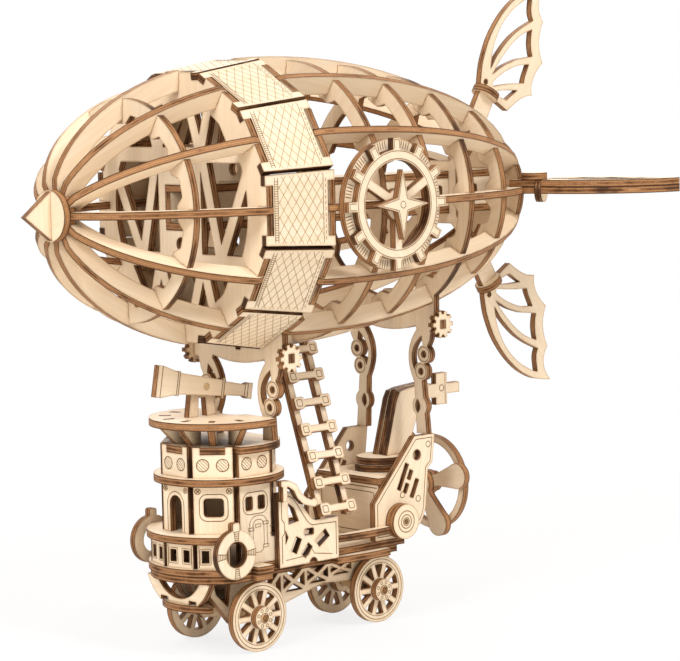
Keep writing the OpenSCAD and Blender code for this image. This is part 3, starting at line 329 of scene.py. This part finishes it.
# Cut edges are burnt more on small and crowded pieces
BURN_LEVELS = {
    1.25: "belt_panels",
    1.2: "tower_panels side_walls gallery_panels",
    1.1: "parapet_panels truss_panels handrails",
    0.9: "ladder_rails life_rings chassis_sides pipe_cheeks pipe_core",
    0.8: "engine_plates floor_upper cabin_walls cabin_deck turret_lower turret_upper under_plate "
         "front_bolster",
    0.7: "rear_strut_ring medallion_wheels medallion_backs floor_lower gallery_deck top_plate "
         "running_boards",
    0.6: "front_strut_ring strut_gears belt_bulkhead mid_ring",
    0.5: "ring_frames lookout_deck",
}
BURN = {name: level for level, names in BURN_LEVELS.items() for name in names.split()}
BURN_ELSEWHERE = 0.2
for node_name in sorted(nodes):
    burnt = BURN.get(node_name, BURN_ELSEWHERE)
    dress(nodes[node_name], node_name in DOWEL_NODES, FACING.get(node_name), burnt)


# Tail fins with their long narrow gaps, cut from sheets in the place of the plain ones
FIN_FOOT, FIN_SLOPE, SIDE_DROP = (69.5, 27.0), math.radians(30), 6.0


def fin_point(u, v):
    """A point by its distances along and above the collar."""
    c, n = math.cos(FIN_SLOPE), math.sin(FIN_SLOPE)
    return (FIN_FOOT[0] + u * c + v * n, FIN_FOOT[1] - u * n + v * c)


def bend(a, c, b, steps):
    """A curve from a to b that is drawn towards c."""
    out = []
    for i in range(steps + 1):
        t = i / steps
        out.append(tuple((1 - t) ** 2 * a[k] + 2 * t * (1 - t) * c[k] + t * t * b[k] for k in (0, 1)))
    return out


def smooth(pts, steps=4):
    """A curve through all points."""
    out = []
    for i in range(len(pts) - 1):
        a, b, c, d = (Vector(pts[min(max(j, 0), len(pts) - 1)]) for j in (i - 1, i, i + 1, i + 2))
        for k in range(steps):
            t = k / steps
            out.append(tuple(0.5 * (2 * b + (c - a) * t + (2 * a - 5 * b + 4 * c - d) * t * t
                                    + (3 * b - a - 3 * c + d) * t ** 3)))
    return out + [pts[-1]]


def cut_sheet(outlines, low, high, place):
    """A sheet between two depths, with a hole where one outline lies in another.

    place maps (x, y, depth) to the model, in millimetres.
    """
    curve = bpy.data.curves.new("cut", "CURVE")
    curve.dimensions = "2D"
    curve.fill_mode = "BOTH"
    curve.extrude = (high - low) / 2
    for outline in outlines:
        line = curve.splines.new("POLY")
        line.points.add(len(outline) - 1)
        for q, (x, y) in zip(line.points, outline):
            q.co = (x, y, 0.0, 1.0)
        line.use_cyclic_u = True
    maker = bpy.data.objects.new("cut", curve)
    me = bpy.data.meshes.new_from_object(maker)
    bpy.data.objects.remove(maker)
    bpy.data.curves.remove(curve)
    verts = [place(v.co.x, v.co.y, v.co.z + (low + high) / 2) for v in me.vertices]
    faces = [tuple(f.vertices) for f in me.polygons]
    bpy.data.meshes.remove(me)
    return verts, faces


def cut_piece(name, node, sheets, burn):
    """One piece made of several cut sheets, which stands for a node."""
    build = bmesh.new()
    for verts, faces in sheets:
        own = [build.verts.new(v * MM) for v in verts]
        for f in faces:
            build.faces.new([own[i] for i in f])
    bmesh.ops.remove_doubles(build, verts=build.verts, dist=1e-7)
    bmesh.ops.triangulate(build, faces=build.faces)
    bmesh.ops.recalc_face_normals(build, faces=build.faces)
    me = bpy.data.meshes.new(name)
    build.to_mesh(me)
    build.free()
    obj = bpy.data.objects.new(name, me)
    scene.collection.objects.link(obj)
    dress(obj, False, None, burn)
    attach(obj, "airframe")
    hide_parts(node)


def on_rib(k, drop):
    """Maps the plane of a fin, lowered by drop towards the hull's axis, to rib k."""
    turn = Matrix.Rotation(math.radians(30 * k), 3, "X")
    return lambda x, y, t: turn @ Vector((x, t, y - drop)) + Vector((0, 0, HULL_H))


# Tips of the trailing edge and the heel, in the fin's plane
tip, p1, p2, p3, heel = (94.7, 58.8), (93.7, 48.5), (93.2, 36.3), (88.4, 26.7), (78.0, 22.5)
STUB_HALF, HEEL_LIFT, TONGUE = 3.2, 0.6, 7.5
leading_edge = smooth([fin_point(-4, PLY), (67.9, 36.0), (69.3, 40.0), (71.2, 44.0), (74.2, 48.2),
                       (77.6, 51.8), (81.6, 54.9), (86.4, 57.3), (90.4, 58.3), tip])
trailing_edge = (bend(tip, (89.6, 53.5), p1, 6)[1:] + bend(p1, (90.2, 42.4), p2, 6)[1:]
                 + bend(p2, (87.2, 31.6), p3, 6)[1:] + bend(p3, (84.4, 27.2), heel, 6)[1:])
fin_outline = leading_edge + trailing_edge + [fin_point(3.4, HEEL_LIFT), fin_point(STUB_HALF, PLY)]
fin_gaps = [
    smooth([(71.3, 34.9), (71.6, 37.0), (72.4, 40.4), (73.9, 44.0), (76.7, 48.2), (81.4, 52.4),
            (87.0, 55.3), (89.2, 55.9)])
    + smooth([(88.9, 53.8), (88.7, 52.0), (88.9, 50.3), (89.5, 48.9)])
    + smooth([(85.2, 47.1), (80.6, 44.5), (76.8, 41.4), (73.6, 38.1)]),
    smooth([(71.9, 33.2), (74.3, 36.2), (76.9, 39.0), (80.4, 42.1), (84.2, 44.6), (88.9, 46.3)])
    + smooth([(88.5, 44.2), (88.3, 42.2), (88.5, 40.0), (88.9, 38.3)])
    + smooth([(82.6, 37.6), (77.6, 36.1), (74.0, 34.4)]),
    smooth([(72.1, 30.9), (74.2, 32.4), (77.8, 34.2), (82.2, 35.6), (87.4, 36.0)])
    + smooth([(86.7, 34.5), (86.0, 33.1), (85.4, 31.7), (85.1, 30.5)])
    + smooth([(80.3, 30.5), (76.2, 30.2), (72.3, 29.8)]),
    smooth([(73.2, 28.3), (77.2, 28.6), (82.3, 28.4)]) + smooth([(79.9, 27.0), (77.7, 25.6)])
    + smooth([(75.4, 26.5), (73.3, 27.0)]),
    loop((69.2, 31.2), 0.85, 16),
]
# The second leaf runs on over the stub to the hull
leaf_outline = leading_edge + trailing_edge + [
    fin_point(STUB_HALF, HEEL_LIFT), fin_point(STUB_HALF, -TONGUE), fin_point(-STUB_HALF, -TONGUE),
    fin_point(-STUB_HALF, PLY)]
COLLAR_R, COLLAR_HALF = 3.5, 0.7
collar_outline = (arc((COLLAR_HALF, 0), COLLAR_R, -math.pi / 2, math.pi / 2, 15)
                  + arc((-COLLAR_HALF, 0), COLLAR_R, math.pi / 2, 1.5 * math.pi, 15))
SIDE_DISC_R = 3.7
side_disc = loop((68.2, FIN_FOOT[1]), SIDE_DISC_R, 32)


def collar_place(k, drop):
    """Maps the plane of a collar, which lies square to its fin, to rib k."""
    rib = on_rib(k, drop)
    return lambda x, y, t: rib(*fin_point(x, t), y)


fins, leaves, collars = [], [], []
for k in (0, 3, 6, 9):
    drop = SIDE_DROP if k % 6 else 0.0
    fins.append(cut_sheet([fin_outline] + fin_gaps, -PLY / 2, PLY / 2, on_rib(k, drop)))
    collars.append(cut_sheet([collar_outline], 0.0, PLY, collar_place(k, drop)))
    if drop:
        s = 1 if k == 3 else -1
        low, high = sorted((s * PLY / 2, s * 1.5 * PLY))
        leaves.append(cut_sheet([leaf_outline] + fin_gaps, low, high, on_rib(k, drop)))
        low, high = sorted((s * 1.5 * PLY, s * 2.5 * PLY))
        collars.append(cut_sheet([side_disc], low, high, on_rib(k, drop)))
cut_piece("fins_cut", "fins", fins, 0.4)
cut_piece("fin_leaves_cut", "fin_leaves", leaves, 0.3)
cut_piece("fin_collars_cut", "fin_collars", collars, 0.9)


# Engraving: thin burnt lines laid on the sheets
class Plane:
    """A flat place on the model, with two axes and an outward side, in millimetres."""

    def __init__(self, origin, ex, ey, out):
        self.o = Vector(origin)
        self.ex = Vector(ex).normalized()
        self.ey = Vector(ey).normalized()
        self.out = Vector(out).normalized()

    def at(self, p, lift):
        return (self.o + self.ex * p[0] + self.ey * p[1] + self.out * lift) * MM


class Engraving:
    """Collects lines of one kind on one body and makes them one mesh."""

    def __init__(self, name, body, mat, width, lift=0.05):
        self.name, self.body, self.mat = name, body, mat
        self.width, self.lift = width, lift
        self.verts, self.faces = [], []

    def line(self, plane, pts, closed=False, width=None):
        half = (width or self.width) / 2
        pts = [Vector((p[0], p[1])) for p in pts]
        count = len(pts)
        base = len(self.verts)
        for i, p in enumerate(pts):
            a = pts[i - 1] if i or closed else None
            b = pts[(i + 1) % count] if i < count - 1 or closed else None
            d1 = (p - a).normalized() if a is not None else None
            d2 = (b - p).normalized() if b is not None else None
            d = d1 if d2 is None else d2 if d1 is None else (d1 + d2)
            d = d.normalized() if d.length > 1e-6 else d2
            side = Vector((-d.y, d.x))
            grow = 1.0
            if d1 is not None and d2 is not None:
                grow = 1 / max(0.5, side.dot(Vector((-d1.y, d1.x))))
            for s in (1, -1):
                self.verts.append(plane.at(p + side * (s * half * grow), self.lift))
        turn = plane.ex.cross(plane.ey).dot(plane.out) > 0
        for i in range(count if closed else count - 1):
            j = (i + 1) % count
            quad = (base + 2 * i, base + 2 * i + 1, base + 2 * j + 1, base + 2 * j)
            self.faces.append(quad if turn else quad[::-1])

    def circle(self, plane, c, r, width=None, steps=28):
        self.line(plane, loop(c, r, steps), True, width)

    def ticks(self, plane, c, r0, r1, angles, width=None):
        for a in angles:
            u = (math.cos(math.radians(a)), math.sin(math.radians(a)))
            self.line(plane, [(c[0] + r0 * u[0], c[1] + r0 * u[1]),
                              (c[0] + r1 * u[0], c[1] + r1 * u[1])], False, width)

    def rounded(self, plane, c, w, h, r, width=None):
        pts = []
        for q, (sx, sy) in enumerate(((1, 1), (-1, 1), (-1, -1), (1, -1))):
            corner = (c[0] + sx * (w / 2 - r), c[1] + sy * (h / 2 - r))
            pts += arc(corner, r, math.pi / 2 * q, math.pi / 2 * (q + 1), 4)
        self.line(plane, pts, True, width)

    def build(self):
        me = bpy.data.meshes.new(self.name)
        me.from_pydata([tuple(v) for v in self.verts], [], self.faces)
        me.materials.append(self.mat)
        obj = bpy.data.objects.new(self.name, me)
        scene.collection.objects.link(obj)
        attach(obj, self.body)


def side_planes(y, x=0.0, z=0.0):
    """The port and the starboard plane at distance y from the middle."""
    for s in (-1, 1):
        yield Plane((x, s * y, z), (1, 0, 0), (0, 0, 1), (0, s, 0))


def tower_plane(angle, reach, z):
    a = math.radians(angle)
    out = Vector((-math.cos(a), -math.sin(a), 0))
    return Plane(Vector((TOWER_X, 0, z)) + out * reach, (-math.sin(a), math.cos(a), 0), (0, 0, 1), out)


# Net and stitches on the belt
belt_x0 = RING_MID_X - 2 * RING_PITCH - PLY / 2
belt_x1 = RING_MID_X - RING_PITCH + PLY / 2
belt_r0, belt_r1 = 33.5, 36.9
slope = math.atan2(belt_r1 - belt_r0, belt_x1 - belt_x0)
belt_len = (belt_x1 - belt_x0) / math.cos(slope)
u_front, u_rear = 2.3, belt_len - 2.2
half_face = math.tan(math.radians(15))
NET_ANGLE, NET_PITCH, NET_MARGIN = math.radians(57), 2.5, 0.5
STITCH_PITCH, DASH_PITCH, DASH = 0.62, 1.5, 0.9


def belt_half(u):
    return (belt_r0 + (belt_r1 - belt_r0) * u / belt_len) * half_face - 0.1


def clip(p, d, u0, u1):
    """The stretch of the line p + t d that lies inside the panel between u0 and u1."""
    lo, hi = -60.0, 60.0
    widen = belt_half(1.0) - belt_half(0.0)
    limits = [(d[0], u1 - p[0]), (-d[0], p[0] - u0),
              (d[1] - widen * d[0], belt_half(0) + widen * p[0] - p[1] - NET_MARGIN),
              (-d[1] - widen * d[0], belt_half(0) + widen * p[0] + p[1] - NET_MARGIN)]
    for k, room in limits:
        if abs(k) < 1e-9:
            if room < 0:
                return None
        elif k > 0:
            hi = min(hi, room / k)
        else:
            lo = max(lo, room / k)
    return (lo, hi) if hi - lo > 0.3 else None


net = Engraving("belt_net", "airframe", NET, 0.17, 0.04)
stitch = Engraving("belt_stitches", "airframe", LINE, 0.16, 0.05)
for k in range(12):
    turn = Matrix.Rotation(math.radians(30 * k), 3, "X")
    out = turn @ Vector((-math.sin(slope), 0, math.cos(slope)))
    top = Plane(turn @ Vector((belt_x0, 0, belt_r0)) + Vector((0, 0, HULL_H)) + out * PLY,
                turn @ Vector((math.cos(slope), 0, math.sin(slope))), turn @ Vector((0, 1, 0)), out)
    u0, u1 = u_front + 1.7, u_rear - 1.5
    for s in (-1, 1):
        d = (math.cos(NET_ANGLE), s * math.sin(NET_ANGLE))
        for i in range(-12, 13):
            q = (belt_len / 2 + i * NET_PITCH, 0.0)
            span = clip(q, d, u0, u1)
            if span:
                net.line(top, [(q[0] + d[0] * t, q[1] + d[1] * t) for t in span])
    for u in (u_front + 0.5, u_front + 1.5, u_rear - 1.3):
        h = belt_half(u) - 0.7
        stitch.line(top, [(u, -h), (u, h)])
    h = belt_half(u_front) - 1.1
    for i in range(int(2 * h / STITCH_PITCH)):
        v = -h + STITCH_PITCH * (i + 0.5)
        stitch.line(top, [(u_front + 0.6, v), (u_front + 1.4, v)])
    h = belt_half(u_rear) - 1.2
    for i in range(int(2 * h / DASH_PITCH)):
        v = -h + DASH_PITCH * (i + 0.25)
        stitch.line(top, [(u_rear - 0.6, v), (u_rear - 0.6, v + DASH)])
net.build()
stitch.build()

# Medallions: a graduated back ring, a lined wheel and an outlined star
TICK_IN, TICK_OUT = 14.9, 16.9
WHEEL_LINES = (14.0, 12.0)
KNOB_CORNERS = ((14.6, 0.85), (16.9, 0.85), (16.9, -0.85), (14.6, -0.85))
STAR_TIP, STAR_NOTCH = 7.9, 2.1
medal = Engraving("medallion_lines", "airframe", LINE, 0.24)
for p in side_planes(HULL_R + PLY, RING_MID_X, HULL_H):
    medal.ticks(p, (0, 0), TICK_IN, TICK_OUT, [a for a in range(0, 360, 3) if 6 < a % 30 < 24], 0.24)
for p in side_planes(HULL_R + 2 * PLY, RING_MID_X, HULL_H):
    for r in WHEEL_LINES:
        medal.circle(p, (0, 0), r, 0.18, 60)
    for a in range(0, 360, 30):
        u = Vector((math.cos(math.radians(a)), math.sin(math.radians(a))))
        v = Vector((-u.y, u.x))
        medal.line(p, [u * r + v * w for r, w in KNOB_CORNERS], False, 0.16)
for p in side_planes(HULL_R + 3 * PLY, RING_MID_X, HULL_H):
    star = []
    for i in range(8):
        r = STAR_NOTCH if i % 2 else STAR_TIP
        star.append((r * math.cos(math.pi / 4 * i), r * math.sin(math.pi / 4 * i)))
    medal.line(p, star, True, 0.2)
    medal.circle(p, (0, 0), 0.9, 0.2)
medal.build()

# Tower: portholes, door, windows, screws and pipe
PORTHOLE_X, PORTHOLE_H, PORTHOLE_R = 2.65, 3.5, 1.65
DOOR_HALF, DOOR_SPRING, DOOR_FOOT = 3.5, 7.5, 0.3
tower = Engraving("tower_lines", "airframe", LINE, 0.24)
for a in range(0, 360, 45):
    p = tower_plane(a, TOWER_A, PARAPET_Z)
    for s in (-1, 1):
        c = (s * PORTHOLE_X, PORTHOLE_H)
        tower.circle(p, c, PORTHOLE_R, 0.26)
        # Slanting lines across the glass
        for t in (-1.0, -0.33, 0.33, 1.0):
            h = math.sqrt(PORTHOLE_R * PORTHOLE_R - t * t) - 0.05
            d, e = 0.7071 * h, 0.7071 * t
            tower.line(p, [(c[0] + e - d, c[1] - e - d), (c[0] + e + d, c[1] - e + d)], False, 0.13)


def screw(p, c):
    """A round screw head with a cross."""
    r = 0.75
    tower.circle(p, c, r, 0.2, 18)
    k = r * 0.6
    tower.line(p, [(c[0] - k, c[1] - k), (c[0] + k, c[1] + k)], False, 0.26)
    tower.line(p, [(c[0] - k, c[1] + k), (c[0] + k, c[1] - k)], False, 0.26)


for a in (0, 45, -45, 180, 135, -135):
    p = tower_plane(a, TOWER_A, GALLERY_TOP)
    for s in (-1, 1):
        screw(p, (s * 4.2, 11.6))
    if abs(a) > 90:
        continue
    if a == 0:
        arch = arc((0, DOOR_SPRING), DOOR_HALF, math.pi, 0.0, 14)
        tower.line(p, [(-DOOR_HALF, DOOR_FOOT)] + arch + [(DOOR_HALF, DOOR_FOOT)])
    else:
        tower.rounded(p, (0, 7.2), 7.6, 7.2, 2.0)
for a in (-45, -15, 15, 45):
    p = tower_plane(a, GALLERY_A, FLOOR_TOP)
    w = 2 * (GALLERY_A - PLY) * math.tan(math.radians(15)) - 0.2
    for s in (-1, 1):
        tower.line(p, [(s * (w / 2 - 0.45), 0.5), (s * (w / 2 - 0.45), 6.2)], False, 0.2)
        tower.rounded(p, (s * w / 4, 3.35), 2.9, 4.2, 0.3, 0.16)
for p in side_planes(TOWER_A, TOWER_X, FLOOR_TOP):
    h = MID_RING_Z - FLOOR_TOP
    tower.rounded(p, (0, h - 5.3), 8.4, 5.9, 2.1)
    # Engraved pipe with its clamps
    for d in (0.0, 1.1):
        x0, x1, r, top = -2.1 + d, 3.9 - d, 2.4 - d * 0.7, 12.9 - d
        foot = 3.0 if d else 7.0
        pipe = [(x0, foot), (x0, top - r)]
        pipe += arc((x0 + r, top - r), r, math.pi, math.pi / 2, 6)
        pipe += arc((x1 - r, top - r), r, math.pi / 2, 0.0, 6)
        tower.line(p, pipe + [(x1, 4.6)], False, 0.18)
    for c in ((3.4, 10.7), (3.4, 4.5), (-1.6, 9.4), (0.8, 10.2)):
        tower.rounded(p, c, 1.9, 0.8, 0.12, 0.18)
    tower.line(p, [(-1.0, 3.0), (1.4, 3.0), (2.3, 3.5), (2.8, 4.2)], False, 0.18)
    for v in (7.6, 9.6):
        tower.circle(p, (5.2, v), 0.22, 0.2, 10)
tower.build()

# Life rings with their bands of cord
LIFE_Y, LIFE_X, LIFE_H = 18.8, TOWER_X - 9.8, GALLERY_TOP - PLY - 2.5
LIFE_IN, LIFE_OUT, CORD_R, CORD_PITCH = 3.55, 6.55, 3.9, 0.56
life = Engraving("life_ring_lines", "airframe", LINE, 0.2)
for p in side_planes(LIFE_Y, LIFE_X, LIFE_H):
    for a in (0, 90, 180, 270):
        for t in (-8, 8):
            life.ticks(p, (0, 0), LIFE_IN, LIFE_OUT, [a + t])
        for i in range(5):
            r = CORD_R + CORD_PITCH * i
            life.line(p, arc((0, 0), r, math.radians(a - 7), math.radians(a + 7), 2))
life.build()

# Trussed panels: a line that follows the cut outline, and a wavy line at the foot
side = Engraving("truss_lines", "airframe", LINE, 0.24)
t0, t1 = TOWER_X + 6.4, TOWER_X + 27.6
rail_mid, rail_half, rail_top, rail_low = t0 + 8.7, 4.4, 42.4, 33.6


def rail_z(x):
    s = min(1.0, max(0.0, (x - rail_mid + rail_half) / (2 * rail_half)))
    return rail_top + (rail_low - rail_top) * s * s * (3 - 2 * s)


for p in side_planes(TOWER_A + PLY):
    edge = [(t0 + 1.0, 23.2), (t0 + 1.0, 30.4), (t0 + 1.9, 31.4), (t0 + 1.9, 34.2), (t0 + 1.0, 35.2),
            (t0 + 1.0, rail_top - 1.4)]
    edge += [(x, rail_z(x + 0.9) - 1.2) for x in [t0 + 3.0 + 0.7 * i for i in range(16)]]
    edge += [(t1 - 0.9, rail_low - 1.4), (t1 - 0.9, 23.2)]
    side.line(p, edge)
    wave = [(t0 + 2.2, 24.0), (t0 + 10.2, 24.4), (t0 + 11.2, 26.2), (t0 + 12.4, 24.6), (t0 + 18.8, 23.6)]
    side.line(p, wave, False, 0.2)
side.build()

# Engine plates with bosses and rivets, the stern pipe, and the front wall of the cabin
BOSS = (17.9, 29.0)
engine = Engraving("engine_lines", "airframe", LINE, 0.24)
plate_line = [(10.0, 25.1), (10.0, 34.2), (25.1, 51.0), (31.4, 51.0), (30.5, 44.4), (28.7, 42.8)]
plate_line += arc((19.6, 33.15), 8.1, 0.0, -math.pi / 2, 10)
for p in side_planes(TOWER_A):
    engine.line(p, plate_line, True)
    for c in ((29.8, 49.2), (19.6, 36.0), (25.6, 34.2), (12.2, 27.2)):
        engine.circle(p, c, 0.85, 0.22, 20)
for p in side_planes(TOWER_A + 3.2):
    for r in (1.1, 1.9, 3.0):
        engine.circle(p, BOSS, r, 0.26)
    engine.circle(p, BOSS, 0.45, 0.75, 14)
for p in side_planes(1.5 * PLY):
    engine.circle(p, (39.6, 60.8), 0.9, 0.22, 18)
for p in side_planes(PLY / 2):
    engine.circle(p, (49.0, 62.2), 0.9, 0.22, 18)
    engine.line(p, [(50.4, 57.7), (50.4, 66.3)], False, 0.22)
front = Plane((12.4, 0, 0), (0, 1, 0), (0, 0, 1), (-1, 0, 0))
engine.rounded(front, (0, 31.4), 22.0, 11.4, 0.6, 0.24)
engine.line(front, [(-12.4, 38.4), (12.4, 38.4)], False, 0.3)
engine.build()

# Eyelets of the legs, and the ends of the tenons in the lookout deck
legs = Engraving("leg_lines", "airframe", LINE, 0.2)
for x, r in ((RING_MID_X - RING_PITCH, 39.2), (RING_MID_X + 2 * RING_PITCH, 34.61)):
    for s in (-1, 1):
        p = Plane((x + s * PLY / 2, 0, HULL_H - r), (0, 1, 0), (0, 0, 1), (s, 0, 0))
        for t in (-1, 1):
            legs.circle(p, (t * 14.0, -10.0), 2.1, 0.2, 24)
            legs.circle(p, (t * 12.7, -14.9), 2.1, 0.2, 24)
legs.build()
DECK_TOP, TENON_REACH = 62.85, 14.2
deck = Engraving("deck_tenons", "airframe", BURNT, 0.3)
for a in range(-75, 90, 30):
    c = math.radians(a)
    o = Vector((-math.cos(c), -math.sin(c), 0))
    p = Plane(Vector((TOWER_X, 0, DECK_TOP)) + o * TENON_REACH, o, (-o.y, o.x, 0), (0, 0, 1))
    deck.line(p, [(-1.6, 0), (1.6, 0)], False, 1.7)
deck.build()

# Ladder knobs
LADDER_X, LADDER_HALF, LADDER_FOOT_Y = -7.2, 4.7, 16.0
RUNGS, RUNG_FIRST, RUNG_PITCH = 7, 1.9, 7.45
lean = math.atan2(LADDER_FOOT_Y, HULL_H - HULL_R - rail_low)
ladder = Engraving("ladder_lines", "airframe", LINE, 0.22)
up = Vector((0, math.sin(lean), math.cos(lean)))
out = Vector((0, -math.cos(lean), math.sin(lean)))
for k in range(RUNGS):
    for s in (-1, 1):
        c = Vector((LADDER_X + s * LADDER_HALF, -LADDER_FOOT_Y, rail_low))
        c = c + up * (RUNG_FIRST + RUNG_PITCH * k) + out * (1.5 * PLY)
        ladder.rounded(Plane(c, (1, 0, 0), up, out), (0, 0), 1.8, 1.8, 0.2)
ladder.build()

# Wheels: two lines round the rim, and a ring of small bolts on each boss
AXLE_H = 9.35
BOLTS, BOLT_RING, BOLT_R = 8, 2.2, 0.42
WHEELSETS = (("front_wheel_lines", "front_wheelset", -32.7, 14.2),
             ("rear_wheel_lines", "rear_wheelset", 14.4, 10.2))
for name, body, x, track in WHEELSETS:
    wheel = Engraving(name, body, LINE, 0.2)
    for p in side_planes(track, x, AXLE_H):
        wheel.circle(p, (0, 0), 8.5, 0.2, 56)
        wheel.circle(p, (0, 0), 7.55, 0.16, 56)
    for p in side_planes(track + PLY, x, AXLE_H):
        for i in range(BOLTS):
            a = math.radians(45 * i + 22.5)
            wheel.circle(p, (BOLT_RING * math.cos(a), BOLT_RING * math.sin(a)), BOLT_R, 0.18, 12)
        wheel.circle(p, (0, 0), 1.35, 0.2, 24)
    wheel.build()

# Telescope bands
PIVOT_X, PIVOT_H = -38.2, 71.05
BANDS = ((-10.0, 3.1), (-9.4, 3.1), (5.4, 2.5), (6.1, 2.5), (13.4, 1.5), (14.4, 1.9), (-15.4, 4.2))
scope = Engraving("telescope_lines", "telescope", LINE, 0.24)
tilt = math.radians(10)
ex = Vector((math.cos(tilt), 0, -math.sin(tilt)))
ez = Vector((math.sin(tilt), 0, math.cos(tilt)))
for s in (-1, 1):
    p = Plane((PIVOT_X, s * PLY / 2, PIVOT_H), ex, ez, (0, s, 0))
    for x, h in BANDS:
        scope.line(p, [(x, -h), (x, h)])
scope.build()

# Camera fitted to the photograph
CAM_DISTANCE = 0.71851
az, el, roll = (math.radians(v) for v in (-41.71, 5.64, -1.25))
target = Vector((10.9, 0, 82.0)) * MM
back = Vector((math.sin(az) * math.cos(el), -math.cos(az) * math.cos(el), math.sin(el)))
right = Vector((math.cos(az), math.sin(az), 0))
upward = back.cross(right)
right2 = right * math.cos(roll) + upward * math.sin(roll)
up2 = upward * math.cos(roll) - right * math.sin(roll)
cam_data = bpy.data.cameras.new("camera")
cam_data.lens = 135.8
cam_data.sensor_width = 36
cam_data.clip_start = 0.01
cam = bpy.data.objects.new("camera", cam_data)
cam.matrix_world = Matrix((right2, up2, back)).transposed().to_4x4()
cam.location = target + back * CAM_DISTANCE
scene.collection.objects.link(cam)
scene.camera = cam


# Floor, white backdrop and soft studio light
def white_for_camera(tree):
    """1 for the rays that should see the white background."""
    path = tree.nodes.new("ShaderNodeLightPath")
    add = tree.nodes.new("ShaderNodeMath")
    add.operation = "MAXIMUM"
    tree.links.new(path.outputs["Is Camera Ray"], add.inputs[0])
    tree.links.new(path.outputs["Is Glossy Ray"], add.inputs[1])
    more = tree.nodes.new("ShaderNodeMath")
    more.operation = "MAXIMUM"
    tree.links.new(add.outputs[0], more.inputs[0])
    tree.links.new(path.outputs["Is Transmission Ray"], more.inputs[1])
    return more.outputs[0]


floor_mesh = bpy.data.meshes.new("floor")
FLOOR_R, FLOOR_SIDES, FLOOR_Z = 3.0, 64, -0.00005
rim = [(x, y, FLOOR_Z) for x, y in loop((0, 0), FLOOR_R, FLOOR_SIDES)]
floor_mesh.from_pydata(rim, [], [tuple(range(FLOOR_SIDES))])
floor = bpy.data.objects.new("floor", floor_mesh)
scene.collection.objects.link(floor)
g = Graph("floor_white")
g.bsdf.inputs["Base Color"].default_value = (0.86, 0.85, 0.83, 1.0)
g.bsdf.inputs["Roughness"].default_value = 0.9
g.bsdf.inputs["Specular IOR Level"].default_value = 0.0
glow = g.add("Emission")
glow.inputs["Strength"].default_value = 1.0
mix = g.add("MixShader")
place = g.add("TexCoord").outputs["Object"]
far = g.add("VectorMath", operation="LENGTH")
g.join(place, far.inputs[0])
fade = g.ramp(g.math("MULTIPLY", far.outputs["Value"], 2.0), [(0.12, 0.8), (0.6, 1.0)])
g.join(g.math("MULTIPLY", fade, white_for_camera(g.tree)), mix.inputs[0])
g.join(g.bsdf.outputs[0], mix.inputs[1])
g.join(glow.outputs[0], mix.inputs[2])
g.join(mix.outputs[0], g.tree.nodes["Material Output"].inputs["Surface"])
floor_mesh.materials.append(g.mat)

world = bpy.data.worlds.new("studio")
scene.world = world
world.use_nodes = True
tree = world.node_tree
plain = tree.nodes["Background"]
plain.inputs["Color"].default_value = (1.0, 0.935, 0.84, 1.0)
plain.inputs["Strength"].default_value = 0.5
white = tree.nodes.new("ShaderNodeBackground")
white.inputs["Color"].default_value = (1.0, 1.0, 1.0, 1.0)
white.inputs["Strength"].default_value = 1.0
both = tree.nodes.new("ShaderNodeMixShader")
tree.links.new(white_for_camera(tree), both.inputs[0])
tree.links.new(plain.outputs[0], both.inputs[1])
tree.links.new(white.outputs[0], both.inputs[2])
tree.links.new(both.outputs[0], tree.nodes["World Output"].inputs["Surface"])


def area_light(name, place, aim, size, power, colour=(1.0, 1.0, 1.0)):
    data = bpy.data.lights.new(name, "AREA")
    data.shape = "DISK"
    data.size = size
    data.energy = power
    data.color = colour
    lamp = bpy.data.objects.new(name, data)
    lamp.location = place
    lamp.rotation_euler = (Vector(aim) - Vector(place)).to_track_quat("-Z", "Y").to_euler()
    scene.collection.objects.link(lamp)


middle = (0.0, 0.0, 0.09)
area_light("key", (0.15, -0.95, 1.02), middle, 0.42, 9.4, (1.0, 0.99, 0.97))
area_light("front", (-0.95, -0.35, 0.8), middle, 0.5, 7.9)
area_light("top", (-0.1, 0.1, 1.25), middle, 0.8, 2.6)
area_light("behind", (0.5, 0.9, 0.6), middle, 0.8, 5.0)
